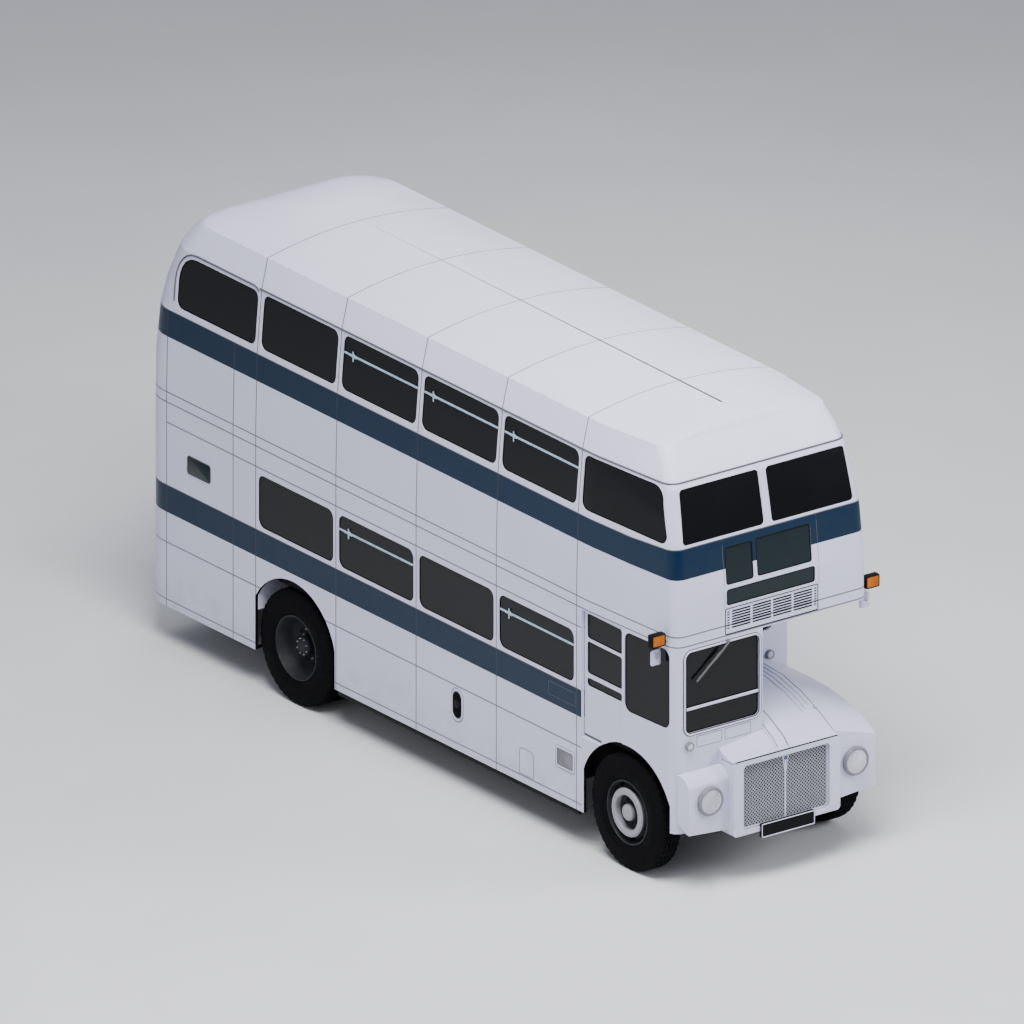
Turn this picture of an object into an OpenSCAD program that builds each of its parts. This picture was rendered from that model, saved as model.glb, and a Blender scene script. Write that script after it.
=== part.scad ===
// Half-cab double decker bus, built as separate named pieces.
// +X points forward, +Y to the nearside (left), +Z up. The origin is on the
// ground under the middle of the bus. All sizes are in millimetres.

/* [Overall] */
// Length from the number plate to the tail lamps
overall_l = 8550; // [8000:10:10300]
// Width over the side panels
body_w = 2390; // [2300:10:2900]
// Height of the roof above the ground
overall_h = 4420; // [4350:10:5400]
// Thickness of the body panels with their lining
wall_t = 32; // [24:1:40]

/* [Plan] */
// Length behind the rearmost saloon bay
rear_l = 1797; // [1700:1:2200]
// Length of the cab, from the front saloon bay to the flat front
cab_l = 1458; // [1420:1:1800]
// Length of the nose ahead of the flat front
nose_l = 260; // [240:1:400]
// How far each side draws in at the front corner
front_taper = 60; // [30:1:80]
// Plan radius of the rear corners
rear_corner_r = 350; // [250:1:400]
// Plan radius of the front corners
front_corner_r = 120; // [80:1:150]

/* [Levels] */
// Underside of the side panels
skirt_z = 380; // [360:1:420]
// Top of the rear platform
platform_z = 420; // [400:1:460]
// Top of the lower saloon floor
floor_z = 760; // [750:1:800]
// Underside of the canopy over the bonnet
canopy_z = 2420; // [2400:1:2600]
// Line between the lower and upper panels, above the canopy's underside
deck_rise = 120; // [100:1:160]
// Depth of the roof from its crown to the gutter
roof_d = 415; // [380:1:480]

/* [Windows] */
// Sill of the lower saloon windows
lower_sill_z = 1640; // [1600:1:1700]
// Height of the lower saloon windows
lower_win_h = 530; // [480:1:560]
// Height from the gutter down to the upper saloon sills
upper_sill_d = 580; // [500:1:620]
// Height from the gutter down to the tops of the upper windows
upper_head_d = 40; // [30:1:60]
// Width of the pillar between two windows
pillar_w = 80; // [70:1:120]
// Thickness of the window glass
glass_t = 8; // [6:1:10]

/* [Wheels] */
// Outside radius of the tyres
tyre_r = 574; // [540:1:580]
// Width of one tyre
tyre_w = 240; // [200:1:245]
// Radius of the rims
rim_r = 320; // [290:1:340]
// Front axle ahead of the front saloon bay
front_axle_d = 742; // [730:1:760]
// Rear axle ahead of the rearmost bay line
rear_axle_d = 580; // [570:1:640]
// Distance of the outer tyre walls in from the side panels
wheel_inset = 25; // [15:1:60]
// Radius of the wheel arch openings
arch_r = 680; // [640:1:700]
// Distance from the front wheel's middle in to its kingpin
kingpin_d = 90; // [80:1:110]

/* [Seats] */
// Distance from one row of seats to the next
seat_pitch = 780; // [700:1:900]
// Width of a double seat
seat_w = 850; // [800:1:880]
// Number of forward facing rows in the lower saloon
lower_rows = 4; // [2:1:4]
// Number of rows in the upper saloon
upper_rows = 8; // [5:1:8]

/* [Cab door] */
// Thickness of the sliding cab door
door_t = 30; // [25:1:35]
// How far the door's outer face lies inside the side panel
door_recess = 40; // [38:1:60]

/* [Hidden] */
$fn = 48;

// Gap left where a piece seats against a curved or sloping neighbour
seat_gap = 0.3;
// Gap left around moving panels
panel_gap = 8;
// Smallest overlap used so that cuts run clean through
cut = 2;

// Plan stations
lamp_proud = 20;
x_rear = -overall_l / 2 + lamp_proud;
x_nose = overall_l / 2;
x_front = x_nose - nose_l;
x_bay_front = x_front - cab_l;
x_bay_rear = x_rear + rear_l;
bays = 4;
bay_pitch = (x_bay_front - x_bay_rear) / bays;
bulkhead_t = 60;
x_bulk = x_bay_front + 98;
x_jamb = x_bay_front + 75;
x_door_front = x_bay_front + 676;
x_taper = x_bay_front + 200;
x_front_axle = x_bay_front + front_axle_d;
x_rear_axle = x_bay_rear + rear_axle_d;
x_rear_corner = x_rear + 405;
half_w = body_w / 2;
inner_w = half_w - wall_t;
front_half_w = half_w - front_taper;

// Heights
deck_z = canopy_z + deck_rise;
gutter_z = overall_h - roof_d;
upper_floor_z = canopy_z + 80;
upper_sill_z = gutter_z - upper_sill_d;
upper_head_z = gutter_z - upper_head_d;
lower_head_z = lower_sill_z + lower_win_h;
floor_t = 40;
axle_z = tyre_r;
window_r = 85;

// Wheel places
wheel_y = half_w - wheel_inset - tyre_w / 2;
kingpin_y = wheel_y - kingpin_d;
twin_gap = 30;
steer_clear = 630;
hub_r = 95;
stub_r = 30;
rear_stub_r = 45;
run_gap = 0.05;

// Cab and nose
cab_inner_y = -110;
cab_wall_t = 40;
door_y = half_w - door_recess;
door_sill_z = 1147;
rad_top_z = 1235;
rad_bottom_z = 490;
rad_front_x = x_nose - 27;
crease_y = 620;
wing_y = crease_y + 4;
rad_half_w = wing_y - seat_gap;
sheet_t = 16;
lid_t = 10;
lid_gap = 10;
hinge_y = 30;
hinge_z = 1640;
wing_front_x = x_nose - 103;

// ---------------------------------------------------------------- helpers

function arc(cx, cy, r, a0, a1, n) =
    [for (i = [0:n]) let (a = a0 + (a1 - a0) * i / n) [cx + r * cos(a), cy + r * sin(a)]];

function mirrored(points) =
    [for (i = [len(points) - 1:-1:0]) [points[i][0], -points[i][1]]];

// Plan outline of the body, drawn in by t. hw and hwf are the half widths
// at the side and at the front corner, xr and xf the rear and front planes.
function outline(hw, hwf, xr, xf, rr, rf, t) =
    let (half = concat(
        arc(xr + rr, -(hw - rr), rr - t, 180, 270, 8),
        [[x_taper, -(hw - t)]],
        arc(xf - rf, -(hwf - rf), rf - t, 274, 360, 6)))
    concat(half, mirrored(half));

function plan_points(t) = outline(half_w, front_half_w, x_rear, x_front,
    rear_corner_r, front_corner_r, t);

// Rows of the upper body: height, side inset, front inset, front setback,
// rear setback, rear corner radius, front corner radius
waist_z = deck_z + 360;
sill_line_z = gutter_z - 648;
wall_rows = [
    [deck_z, 0, 0, 0, 0, 0, 0],
    [waist_z, 7, 6, 0, 0, 0, 0],
    [sill_line_z, 19, 19, 45, 45, 10, 0],
    [gutter_z - 365, 41, 45, 101, 107, 35, 5],
    [gutter_z - 65, 67, 82, 166, 222, 65, 10],
    [gutter_z, 72, 95, 218, 255, 70, 10]
];
bend_z = overall_h - 120;
bend_inset = 141;
cove_rows = [
    [gutter_z, 72, 95, 218, 255, 70, 10],
    [gutter_z + 145, 106, 130, 290, 355, 80, 10],
    [gutter_z + 255, 132, 160, 375, 480, 80, 20]
];
crown_steps = 7;
// The crown is a shallow parabola across the bus
crown_rows = [for (k = [0:crown_steps]) let (
        q = 1 - 0.93 * k / crown_steps,
        hw = (half_w - bend_inset) * q)
    [overall_h - 120 * q * q, half_w - hw, half_w - hw + 20 * q,
     410 + 60 * (1 - q) + 420 * pow(1 - q, 4), 560 + 900 * pow(1 - q, 1.3),
     min(hw - 50, 430) - rear_corner_r, min(hw - 50, 140) - front_corner_r]];

function level(row, t) = outline(half_w - row[1], front_half_w - min(row[2], row[1] + 30),
    x_rear + row[4], x_front - row[3], rear_corner_r + row[5],
    front_corner_r + row[6], min(t, rear_corner_r + row[5] - 5, front_corner_r + row[6] - 5));

// Joins equal outlines, one above the other, into one solid
module loft(rows, t, drop) {
    rings = [for (row = rows) level(row, t)];
    n = len(rings[0]);
    m = len(rows);
    points = [for (k = [0:m - 1]) for (p = rings[k]) [p[0], p[1], rows[k][0] - drop[k]]];
    sides = [for (k = [0:m - 2]) for (i = [0:n - 1]) let (
            a = k * n + i, b = k * n + (i + 1) % n) each [[b, a, a + n], [b, a + n, b + n]]];
    caps = [[for (i = [0:n - 1]) i], [for (i = [n - 1:-1:0]) (m - 1) * n + i]];
    polyhedron(points, concat(sides, caps));
}

module span(x0, x1, y0, y1, z0, z1) {
    translate([x0, y0, z0]) cube([x1 - x0, y1 - y0, z1 - z0]);
}

// A box given by its middle in y, mirrored to both sides of the bus
module both_sides() {
    children();
    mirror([0, 1, 0]) children();
}

// A cylinder whose axis runs across the bus, from y0 to y1
module across(x, z, r, y0, y1) {
    translate([x, y1, z]) rotate([90, 0, 0]) cylinder(r = r, h = y1 - y0);
}

// A cylinder whose axis runs along the bus, from x0 to x1
module along(y, z, r, x0, x1) {
    translate([x0, y, z]) rotate([0, 90, 0]) cylinder(r = r, h = x1 - x0);
}

// A window shape with round corners, drawn in the XZ plane
module pane(x0, x1, z0, z1, r, y0, y1) {
    translate([0, y1, 0]) rotate([90, 0, 0]) linear_extrude(y1 - y0)
        rounded(x0, x1, z0, z1, r, r, r, r);
}

// The same shape, drawn in the YZ plane
module cross_pane(y0, y1, z0, z1, r, x0, x1) {
    translate([x0, 0, 0]) rotate([90, 0, 90]) linear_extrude(x1 - x0)
        rounded(y0, y1, z0, z1, r, r, r, r);
}

// Rounded rectangle, with one radius each for the low left, low right,
// high right and high left corners
module rounded(a0, a1, b0, b1, ra, rb, rc, rd) {
    polygon(concat(
        arc(a0 + ra, b0 + ra, ra, 180, 270, 6),
        arc(a1 - rb, b0 + rb, rb, 270, 360, 6),
        arc(a1 - rc, b1 - rc, rc, 0, 90, 6),
        arc(a0 + rd, b1 - rd, rd, 90, 180, 6)));
}

// Half width over the tapering cab side at x
taper_slope = front_taper / (x_front - front_corner_r - x_taper);
function side_y(x) = half_w - max(0, x - x_taper) * taper_slope;

// Edges of window number k, counted from the rear bay line
function bay_x(k) = x_bay_rear + bay_pitch * k;
function win_x0(k) = bay_x(k) + pillar_w / 2;
function win_x1(k) = bay_x(k + 1) - pillar_w / 2;

module lower_window(k, y0, y1, g) {
    pane(win_x0(k) + g, win_x1(k) - g, lower_sill_z + g, lower_head_z - g,
        window_r - g, y0, y1);
}

// Upper windows: 0 is the rear one, 5 the front one
last_upper = bays + 1;
upper_rear_x = x_rear + 527;
upper_front_x = x_front - 172;
module upper_window(k, y0, y1, g) {
    x0 = k == 0 ? upper_rear_x : win_x0(k - 1);
    x1 = k == last_upper ? upper_front_x : win_x1(k - 1);
    r_rear = k == 0 ? 260 : window_r;
    r_front = k == last_upper ? 150 : window_r;
    lean = k == last_upper ? 95 : 0;
    translate([0, y1, 0]) rotate([90, 0, 0]) linear_extrude(y1 - y0)
        polygon(concat(
            arc(x0 + window_r, upper_sill_z + window_r, window_r - g, 180, 270, 6),
            arc(x1 - window_r, upper_sill_z + window_r, window_r - g, 270, 360, 6),
            arc(x1 - lean - r_front, upper_head_z - r_front, r_front - g, 0, 90, 6),
            arc(x0 + r_rear, upper_head_z - r_rear, r_rear - g, 90, 180, 6)));
}

// ------------------------------------------------------------ body panels

// The vertical lower wall as a band between two heights
module lower_band(z0, z1) {
    translate([0, 0, z0]) linear_extrude(z1 - z0)
        difference() {
            polygon(plan_points(0));
            polygon(plan_points(wall_t));
        }
}

// Wheel arch opening, with upright edges front and rear
module arch_cut(x, back, ahead, y0, y1) {
    intersection() {
        across(x, axle_z, arch_r, y0, y1);
        span(x - back, x + ahead, y0 - cut, y1 + cut, 0, axle_z + arch_r + cut);
    }
    span(x - back, x + ahead, y0, y1, skirt_z - cut, axle_z);
}

rear_arch_back = rear_axle_d + 5;
module rear_arch(y0, y1) {
    arch_cut(x_rear_axle, rear_arch_back, 655, y0, y1);
}
module front_arch(y0, y1) {
    arch_cut(x_front_axle, steer_clear, steer_clear, y0, y1);
}

track_z = door_sill_z - seat_gap;
module lower_side_right() color([0.71, 0.71, 0.77]) {
    difference() {
        span(x_bay_front - 520, x_front_axle - 375, -inner_w - cut, -door_y + door_t, track_z - 10,
            track_z);
        front_arch(-half_w - cut, 0);
    }
    difference() {
        intersection() {
            lower_band(skirt_z, deck_z);
            union() {
                span(x_rear_corner, x_jamb, -half_w - cut, 0, skirt_z, deck_z);
                span(x_jamb - cut, x_door_front, -half_w - cut, 0, skirt_z, door_sill_z - panel_gap);
            }
        }
        for (k = [0:bays - 1]) lower_window(k, -half_w - cut, 0, 0);
        rear_arch(-half_w - cut, 0);
        front_arch(-half_w - cut, 0);
    }
}

entrance_x = x_bay_rear - 50;
module lower_side_left() color([0.71, 0.71, 0.77]) {
    difference() {
        intersection() {
            lower_band(skirt_z, deck_z);
            span(entrance_x, x_bulk, 0, half_w + cut, skirt_z, deck_z);
        }
        for (k = [0:bays - 1]) lower_window(k, 0, half_w + cut, 0);
        rear_arch(0, half_w + cut);
    }
    // Panel between the front wheel and the bulkhead is part of the wing
}

// Rear panel with the staircase corner, and the header over the platform
entrance_y = 620;
header_z = 2290;
rear_win = [-180, 480, 1560, 2120];
module lower_rear() color([0.71, 0.71, 0.77]) {
    difference() {
        union() {
            intersection() {
                lower_band(skirt_z, deck_z);
                span(x_rear - cut, x_rear_corner, -half_w - cut, entrance_y, skirt_z, deck_z);
            }
            intersection() {
                lower_band(header_z, deck_z);
                span(x_rear - cut, entrance_x, entrance_y - cut, half_w + cut, header_z, deck_z);
            }
        }
        cross_pane(rear_win[0], rear_win[1], rear_win[2], rear_win[3], window_r,
            x_rear - cut, x_rear + wall_t + cut);
    }
}

// Upper walls, as one shell that each panel is cut from
no_drop = [for (row = wall_rows) 0];
module upper_shell(t_out, t_in) {
    difference() {
        loft(wall_rows, t_out, no_drop);
        translate([0, 0, -cut]) loft([wall_rows[0], wall_rows[1]], t_in, [0, 0]);
        loft(wall_rows, t_in, no_drop);
        translate([0, 0, cut]) loft([wall_rows[4], wall_rows[5]], t_in, [0, 0]);
    }
}

upper_split_rear = x_rear_corner;
upper_split_front = x_front - 210;
module upper_side(y0, y1) {
    difference() {
        intersection() {
            upper_shell(0, wall_t);
            span(upper_split_rear, upper_split_front, y0, y1, deck_z, gutter_z);
        }
        for (k = [0:last_upper]) upper_window(k, y0, y1, 0);
    }
}
module upper_side_right() color([0.71, 0.71, 0.77]) upper_side(-half_w - cut, 0);
module upper_side_left() color([0.71, 0.71, 0.77]) upper_side(0, half_w + cut);

front_win_in = 44;
front_win_out = front_half_w - 142;
module front_window(side, x0, x1, g) {
    top_in = 30;
    translate([x0, 0, 0]) rotate([90, 0, 90]) linear_extrude(x1 - x0)
        mirror([side, 0, 0]) polygon(concat(
            arc(front_win_in + 40, upper_sill_z + 40, 40 - g, 180, 270, 4),
            arc(front_win_out - 40, upper_sill_z + 40, 40 - g, 270, 360, 4),
            arc(front_win_out - top_in - 40, upper_head_z - 55, 40 - g, 0, 90, 4),
            arc(front_win_in + 40, upper_head_z - 55, 40 - g, 90, 180, 4)));
}

// Destination panes in the front: y0, y1, z0, z1 above the deck line
blinds = [[-530, -207, 400, 770], [-165, 473, 405, 780], [-530, 503, 196, 360]];
module blind_panes(g) {
    for (b = blinds) cross_pane(b[0] + g, b[1] - g, deck_z + b[2] + g, deck_z + b[3] - g,
        30 - g, x_front - 2 * front_corner_r, x_front + cut);
}

module upper_front() color([0.71, 0.71, 0.77]) {
    difference() {
        intersection() {
            upper_shell(0, wall_t);
            span(upper_split_front, x_front + cut, -half_w, half_w, deck_z, gutter_z);
        }
        for (side = [0, 1]) front_window(side, x_front - 400, x_front + cut, 0);
        blind_panes(0);
        upper_window(last_upper, -half_w - cut, -half_w / 2, 0);
        upper_window(last_upper, half_w / 2, half_w + cut, 0);
    }
}

// Emergency window in the middle of the upper rear
exit_w = 620;
exit_z0 = gutter_z - 640;
exit_z1 = gutter_z - 60;
module exit_block(g) {
    span(x_rear - cut, x_rear + 700, -exit_w + g, exit_w - g, exit_z0 + g, exit_z1 - g);
}
module exit_panes(g) {
    for (s = [0, 1]) mirror([0, s, 0])
        cross_pane(45 + g, exit_w - 75 - g, exit_z0 + 75 + g, exit_z1 - 75 - g, 60 - g,
            x_rear - cut, x_rear + 700);
}
// Hinge knuckles along the top of the emergency window
exit_hinge_x = x_rear + 216;
exit_hinge_z = exit_z1 - panel_gap / 2;
exit_fixed = [-460, 400];
exit_moving = [-400, 340];
knuckle_l = 60 - seat_gap;
module exit_knuckles(places, g) {
    for (y = places) across(exit_hinge_x, exit_hinge_z, 9 + g, y - g, y + knuckle_l + g);
}

module upper_rear() color([0.71, 0.71, 0.77]) {
    difference() {
        intersection() {
            upper_shell(0, wall_t);
            span(x_rear - cut, upper_split_rear, -half_w - cut, half_w + cut, deck_z, gutter_z);
        }
        exit_block(0);
        exit_knuckles(exit_moving, 1);
    }
    intersection() {
        exit_knuckles(exit_fixed, 0);
        span(x_rear - cut, upper_split_rear, -exit_w, exit_w, exit_z0, exit_z1 + 20);
    }
}
module emergency_window() color([0.71, 0.71, 0.77]) {
    difference() {
        intersection() {
            upper_shell(0, wall_t);
            exit_block(panel_gap);
        }
        exit_panes(0);
        exit_knuckles(exit_fixed, 1);
    }
    exit_knuckles(exit_moving, 0);
}
glass_in = 12;
module emergency_glass() color([0.15, 0.15, 0.17]) {
    intersection() {
        upper_shell(glass_in, glass_in + glass_t);
        exit_panes(0);
    }
}

module roof() color([0.86, 0.86, 0.91]) {
    rows = concat(cove_rows, crown_rows);
    roof_drop = [for (row = rows) row[0] > gutter_z + cut ? wall_t : 0];
    no_fall = [for (row = rows) 0];
    difference() {
        loft(rows, 0, no_fall);
        loft(rows, wall_t, roof_drop);
        translate([0, 0, -cut]) loft([wall_rows[4], [gutter_z + 1, 72, 95, 218, 255, 70, 10]],
            wall_t, [0, 0]);
    }
}

// Slab over the bonnet and the cab, with the fascia around it
module canopy() color([0.71, 0.71, 0.77]) {
    intersection() {
        union() {
            translate([0, 0, canopy_z]) linear_extrude(upper_floor_z - canopy_z)
                polygon(plan_points(0));
            lower_band(upper_floor_z - cut, deck_z);
        }
        difference() {
            span(x_jamb, x_front + cut, -half_w - cut, half_w + cut, canopy_z, deck_z);
            span(x_jamb - cut, x_bulk, 0, half_w + cut, canopy_z - cut, deck_z + cut);
        }
    }
}

// ----------------------------------------------------------------- floors

wheel_box_in = wheel_y - tyre_w * 1.5 - twin_gap - 40;
wheel_box_t = 25;
wheel_box_top = axle_z + tyre_r + 50;
module wheel_box() {
    x0 = x_bay_rear;
    x1 = x_rear_axle + 655;
    difference() {
        span(x0, x1, wheel_box_in - wheel_box_t, inner_w - seat_gap, floor_z - cut, wheel_box_top);
        span(x0 - cut, x1 - wheel_box_t, wheel_box_in, inner_w + cut, floor_z - 60,
            wheel_box_top - wheel_box_t);
    }
}
module lower_floor() color([0.30, 0.28, 0.27]) {
    difference() {
        span(x_bay_rear, x_bulk - bulkhead_t, -inner_w + seat_gap, inner_w - seat_gap,
            floor_z - floor_t, floor_z);
        both_sides() span(x_bay_rear - cut, x_rear_axle + 655 - wheel_box_t, wheel_box_in, half_w,
            floor_z - floor_t - cut, floor_z + cut);
    }
    both_sides() wheel_box();
}

module platform() color([0.30, 0.28, 0.27]) {
    intersection() {
        translate([0, 0, platform_z - floor_t]) linear_extrude(floor_t)
            polygon(plan_points(wall_t + seat_gap));
        span(x_rear, x_bay_rear - 12, -half_w, half_w, 0, platform_z);
    }
    // Step up into the lower saloon
    span(x_bay_rear - 12 - 2 * floor_t, x_bay_rear - 12, -450, 450, platform_z - cut, floor_z);
}

well_x0 = x_rear + 120;
well_x1 = x_bay_rear - 100;
well_y = -500;
module upper_floor() color([0.30, 0.28, 0.27]) {
    difference() {
        intersection() {
            translate([0, 0, canopy_z + 20]) linear_extrude(upper_floor_z - canopy_z - 20)
                polygon(plan_points(wall_t + seat_gap));
            span(x_rear, x_jamb, -half_w, half_w, canopy_z, upper_floor_z);
        }
        span(well_x0, well_x1, -half_w, well_y, canopy_z, upper_floor_z + cut);
    }
}

// Flight of steps that rises forward along the offside
stair_n = 9;
stair_w = 620;
stair_t = 70;
module staircase() color([0.35, 0.33, 0.32]) {
    rise = (upper_floor_z - platform_z) / stair_n;
    run = (well_x1 - well_x0) / stair_n;
    treads = [for (i = [0:stair_n - 2]) each [
        [well_x0 + i * run, platform_z + i * rise],
        [well_x0 + i * run, platform_z + (i + 1) * rise]]];
    last = [[well_x1 - seat_gap, platform_z + (stair_n - 1) * rise],
            [well_x1 - seat_gap, platform_z + (stair_n - 1) * rise - stair_t]];
    under = [[well_x0 + run + stair_t, platform_z]];
    y0 = -inner_w + 1;
    clip = plan_points(wall_t + 1);
    intersection() {
        translate([0, y0 + stair_w, 0]) rotate([90, 0, 0]) linear_extrude(stair_w)
            polygon(concat(treads, last, under));
        linear_extrude(upper_floor_z) polygon(clip);
    }
}

// ----------------------------------------------------------- cab and front

rear_door_w = 330;
// Bulkhead windows: y0, y1, z0, z1
bulk_wins = [[150, 1030, 1700, 2300], [-900, -250, 1700, 2300]];
rear_bulk_win = [480, 1040, 1560, 2200];
module bulkheads() color([0.71, 0.71, 0.77]) {
    // Front bulkhead, behind the driver and the bonnet
    difference() {
        span(x_bulk - bulkhead_t, x_bulk, -inner_w + seat_gap, inner_w - seat_gap,
            floor_z - floor_t, canopy_z);
        for (w = bulk_wins) cross_pane(w[0], w[1], w[2], w[3], window_r,
            x_bulk - bulkhead_t - cut, x_bulk + cut);
        span(x_bulk - bulkhead_t - cut, x_bulk + cut, -inner_w,
            -door_y + door_t + panel_gap, track_z - 10 - panel_gap, canopy_z + cut);
    }
    // Rear bulkhead, between the saloon and the platform
    difference() {
        span(x_bay_rear - 40, x_bay_rear - seat_gap, -inner_w + seat_gap, inner_w - seat_gap,
            floor_z + 20, canopy_z);
        span(x_bay_rear - 40 - cut, x_bay_rear, -rear_door_w, rear_door_w, 0, canopy_z - 120);
        cross_pane(rear_bulk_win[0], rear_bulk_win[1], rear_bulk_win[2], rear_bulk_win[3],
            window_r, x_bay_rear - 40 - cut, x_bay_rear);
    }
}

screen = [-1030, -132, 1532, 2388];
quarter = [x_door_front + 36, x_front - 90, 1600, 2400];
module cab_front() color([0.71, 0.71, 0.77]) {
    difference() {
        intersection() {
            lower_band(1150, canopy_z);
            span(x_front - front_corner_r, x_front + cut, -half_w, cab_inner_y, 1150, canopy_z);
        }
        cross_pane(screen[0] + 25, screen[1] - 25, screen[2] + 25, screen[3] - 25, 60,
            x_front - 2 * wall_t, x_front + cut);
        pane(quarter[0], quarter[1], quarter[2], quarter[3], window_r, -half_w, -half_w / 2);
    }
}

wing_foot_z = 560;
module cab_side() color([0.71, 0.71, 0.77]) {
    difference() {
        intersection() {
            lower_band(wing_foot_z, canopy_z);
            union() {
                span(x_door_front, x_front - front_corner_r, -half_w, 0, wing_foot_z, canopy_z);
                span(x_front - front_corner_r - cut, x_front, -half_w, -crease_y, wing_foot_z,
                    1150);
            }
        }
        pane(quarter[0], quarter[1], quarter[2], quarter[3], window_r, -half_w, 0);
        front_arch(-half_w - cut, 0);
    }
}

inner_win = [x_bulk + 150, x_front - 210, 1720, 2280];
module cab_inner_wall() color([0.71, 0.71, 0.77]) {
    difference() {
        span(x_bulk, x_front - wall_t - seat_gap, cab_inner_y - cab_wall_t, cab_inner_y, 920,
            canopy_z);
        pane(inner_win[0], inner_win[1], inner_win[2], inner_win[3], window_r,
            cab_inner_y - cab_wall_t - cut, cab_inner_y + cut);
    }
}

// Stepped floor: a foot well beside the bonnet and a box over the wheel
cab_floor_z = 950;
cab_box_z = axle_z + tyre_r + 55;
cab_well_y = -560;
module cab_floor() color([0.30, 0.28, 0.27]) {
    t = 30;
    y_in = cab_inner_y - cab_wall_t;
    y_out = -door_y + door_t + panel_gap;
    intersection() {
        translate([x_bulk, 0, 0]) rotate([90, 0, 90])
            linear_extrude(x_front - wall_t - seat_gap - x_bulk)
                polygon([[y_in, cab_floor_z], [cab_well_y, cab_floor_z], [cab_well_y, cab_box_z],
                    [y_out, cab_box_z], [y_out, cab_box_z - t], [cab_well_y - t, cab_box_z - t],
                    [cab_well_y - t, cab_floor_z - t], [y_in, cab_floor_z - t]]);
        linear_extrude(canopy_z) polygon(plan_points(wall_t + seat_gap));
    }
}

// Section stations of the bonnet and wings: distance behind the nose, ridge
// height, crease height, outer edge height, outer edge y inset, outer foot
nose_rows = [
    [1655, 1630, 1590, 1289, 5, wing_foot_z],
    [1200, 1622, 1580, 1305, 25, wing_foot_z],
    [913, 1602, 1558, 1306, 45, wing_foot_z],
    [640, 1555, 1491, 1275, 60, wing_foot_z],
    [355, 1462, 1377, 1215, 75, 760],
    [147, 1352, 1266, 1145, 103, 610],
    [103, 1322, 1254, 1120, 105, 598]
];
// The wing in front of the cab is lower, with a round front edge
cab_wing_rows = [
    [355, 0, 1176, 1172, 75, 760],
    [260, 0, 1174, 1169, 87, 690],
    [215, 0, 1170, 1164, 93, 655],
    [170, 0, 1152, 1145, 98, 625],
    [135, 0, 1122, 1113, 102, 606],
    [112, 0, 1087, 1076, 105, 600],
    [103, 0, 1052, 1040, 106, 598]
];
// Lip of the bonnet where it comes down to the radiator
lip_row = [34, 1250, 1246];
function row_x(row) = x_nose - row[0];

// A ruled sheet over the rows, between two lines, with thickness t below
module ruled(rows, y0s, y1s, z0s, z1s, t) {
    n = len(rows);
    points = [for (i = [0:n - 1]) let (x = row_x(rows[i])) each [
        [x, y0s[i], z0s[i]], [x, y1s[i], z1s[i]],
        [x, y1s[i], z1s[i] - t], [x, y0s[i], z0s[i] - t]]];
    sides = [for (i = [0:n - 2]) for (j = [0:3]) let (
            a = 4 * i + j, b = 4 * i + (j + 1) % 4) each [[a, b, b + 4], [a, b + 4, a + 4]]];
    last = 4 * (n - 1);
    polyhedron(points, concat(sides, [[3, 2, 1, 0], [last, last + 1, last + 2, last + 3]]));
}

function ridge(rows, drop) = [for (row = rows) row[1] - drop];
function crease(rows, drop) = [for (row = rows) row[2] - drop];

// Lifting part of the bonnet, from the hinge strip to the crease
module bonnet() color([0.86, 0.86, 0.91]) {
    rows = concat(nose_rows, [lip_row]);
    y0 = hinge_y + panel_gap;
    y1 = crease_y - lid_gap;
    intersection() {
        ruled(rows, [for (row = rows) y0], [for (row = rows) y1],
            ridge(rows, 0), crease(rows, 0), lid_t);
        span(x_bulk + panel_gap, x_nose, 0, crease_y, rad_top_z + seat_gap, 2000);
    }
}

// Fixed part beside the cab, and the strip that carries the hinge
module bonnet_side() color([0.86, 0.86, 0.91]) {
    rows = concat(nose_rows, [lip_row]);
    intersection() {
        ruled(rows, [for (row = rows) -rad_half_w], [for (row = rows) 0],
            crease(rows, 0), ridge(rows, 0), sheet_t);
        span(x_front + seat_gap, x_nose, -wing_y, cut, rad_top_z + seat_gap, 2000);
    }
    // Upright side over the lower wing
    intersection() {
        ruled(rows, [for (row = rows) -rad_half_w], [for (row = rows) sheet_t - rad_half_w],
            crease(rows, 0), crease(rows, 0), 200);
        union() {
            span(x_front + seat_gap, x_nose, -wing_y, 0, rad_top_z + seat_gap, 2000);
            span(x_front + seat_gap, rad_back_x - seat_gap, -wing_y, 0, 1150, 2000);
        }
    }
    intersection() {
        ruled(rows, [for (row = rows) cab_inner_y + seat_gap], [for (row = rows) hinge_y],
            ridge(rows, 0), ridge(rows, 0), sheet_t);
        span(x_bulk + seat_gap, x_nose, -crease_y, crease_y, rad_top_z + seat_gap, 2000);
    }
}

// Solid wing form between the crease and the outer edge, drawn in by t
module wing_form(rows, t) {
    n = len(rows);
    deep = t > 0 ? 300 : 0;
    points = [for (i = [0:n - 1]) let (
            row = rows[i], x = row_x(row) - (i == n - 1 ? t : 0), yo = half_w - row[4] - t) each [
        [x, wing_y, row[2] - 2 - t], [x, yo, row[3] - t],
        [x, yo, row[5] - deep], [x, wing_y, wing_foot_z - deep]]];
    sides = [for (i = [0:n - 2]) for (j = [0:3]) let (
            a = 4 * i + j, b = 4 * i + (j + 1) % 4) each [[a, b, b + 4], [a, b + 4, a + 4]]];
    last = 4 * (n - 1);
    polyhedron(points, concat(sides, [[3, 2, 1, 0], [last, last + 1, last + 2, last + 3]]));
}

module wing(rows) {
    difference() {
        wing_form(rows, 0);
        difference() {
            wing_form(rows, sheet_t + 6);
            span(x_front + 20, x_nose, crease_y, wing_y + sheet_t, 0, 2000);
        }
        front_arch(crease_y + 30, half_w + cut);
    }
}

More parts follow.
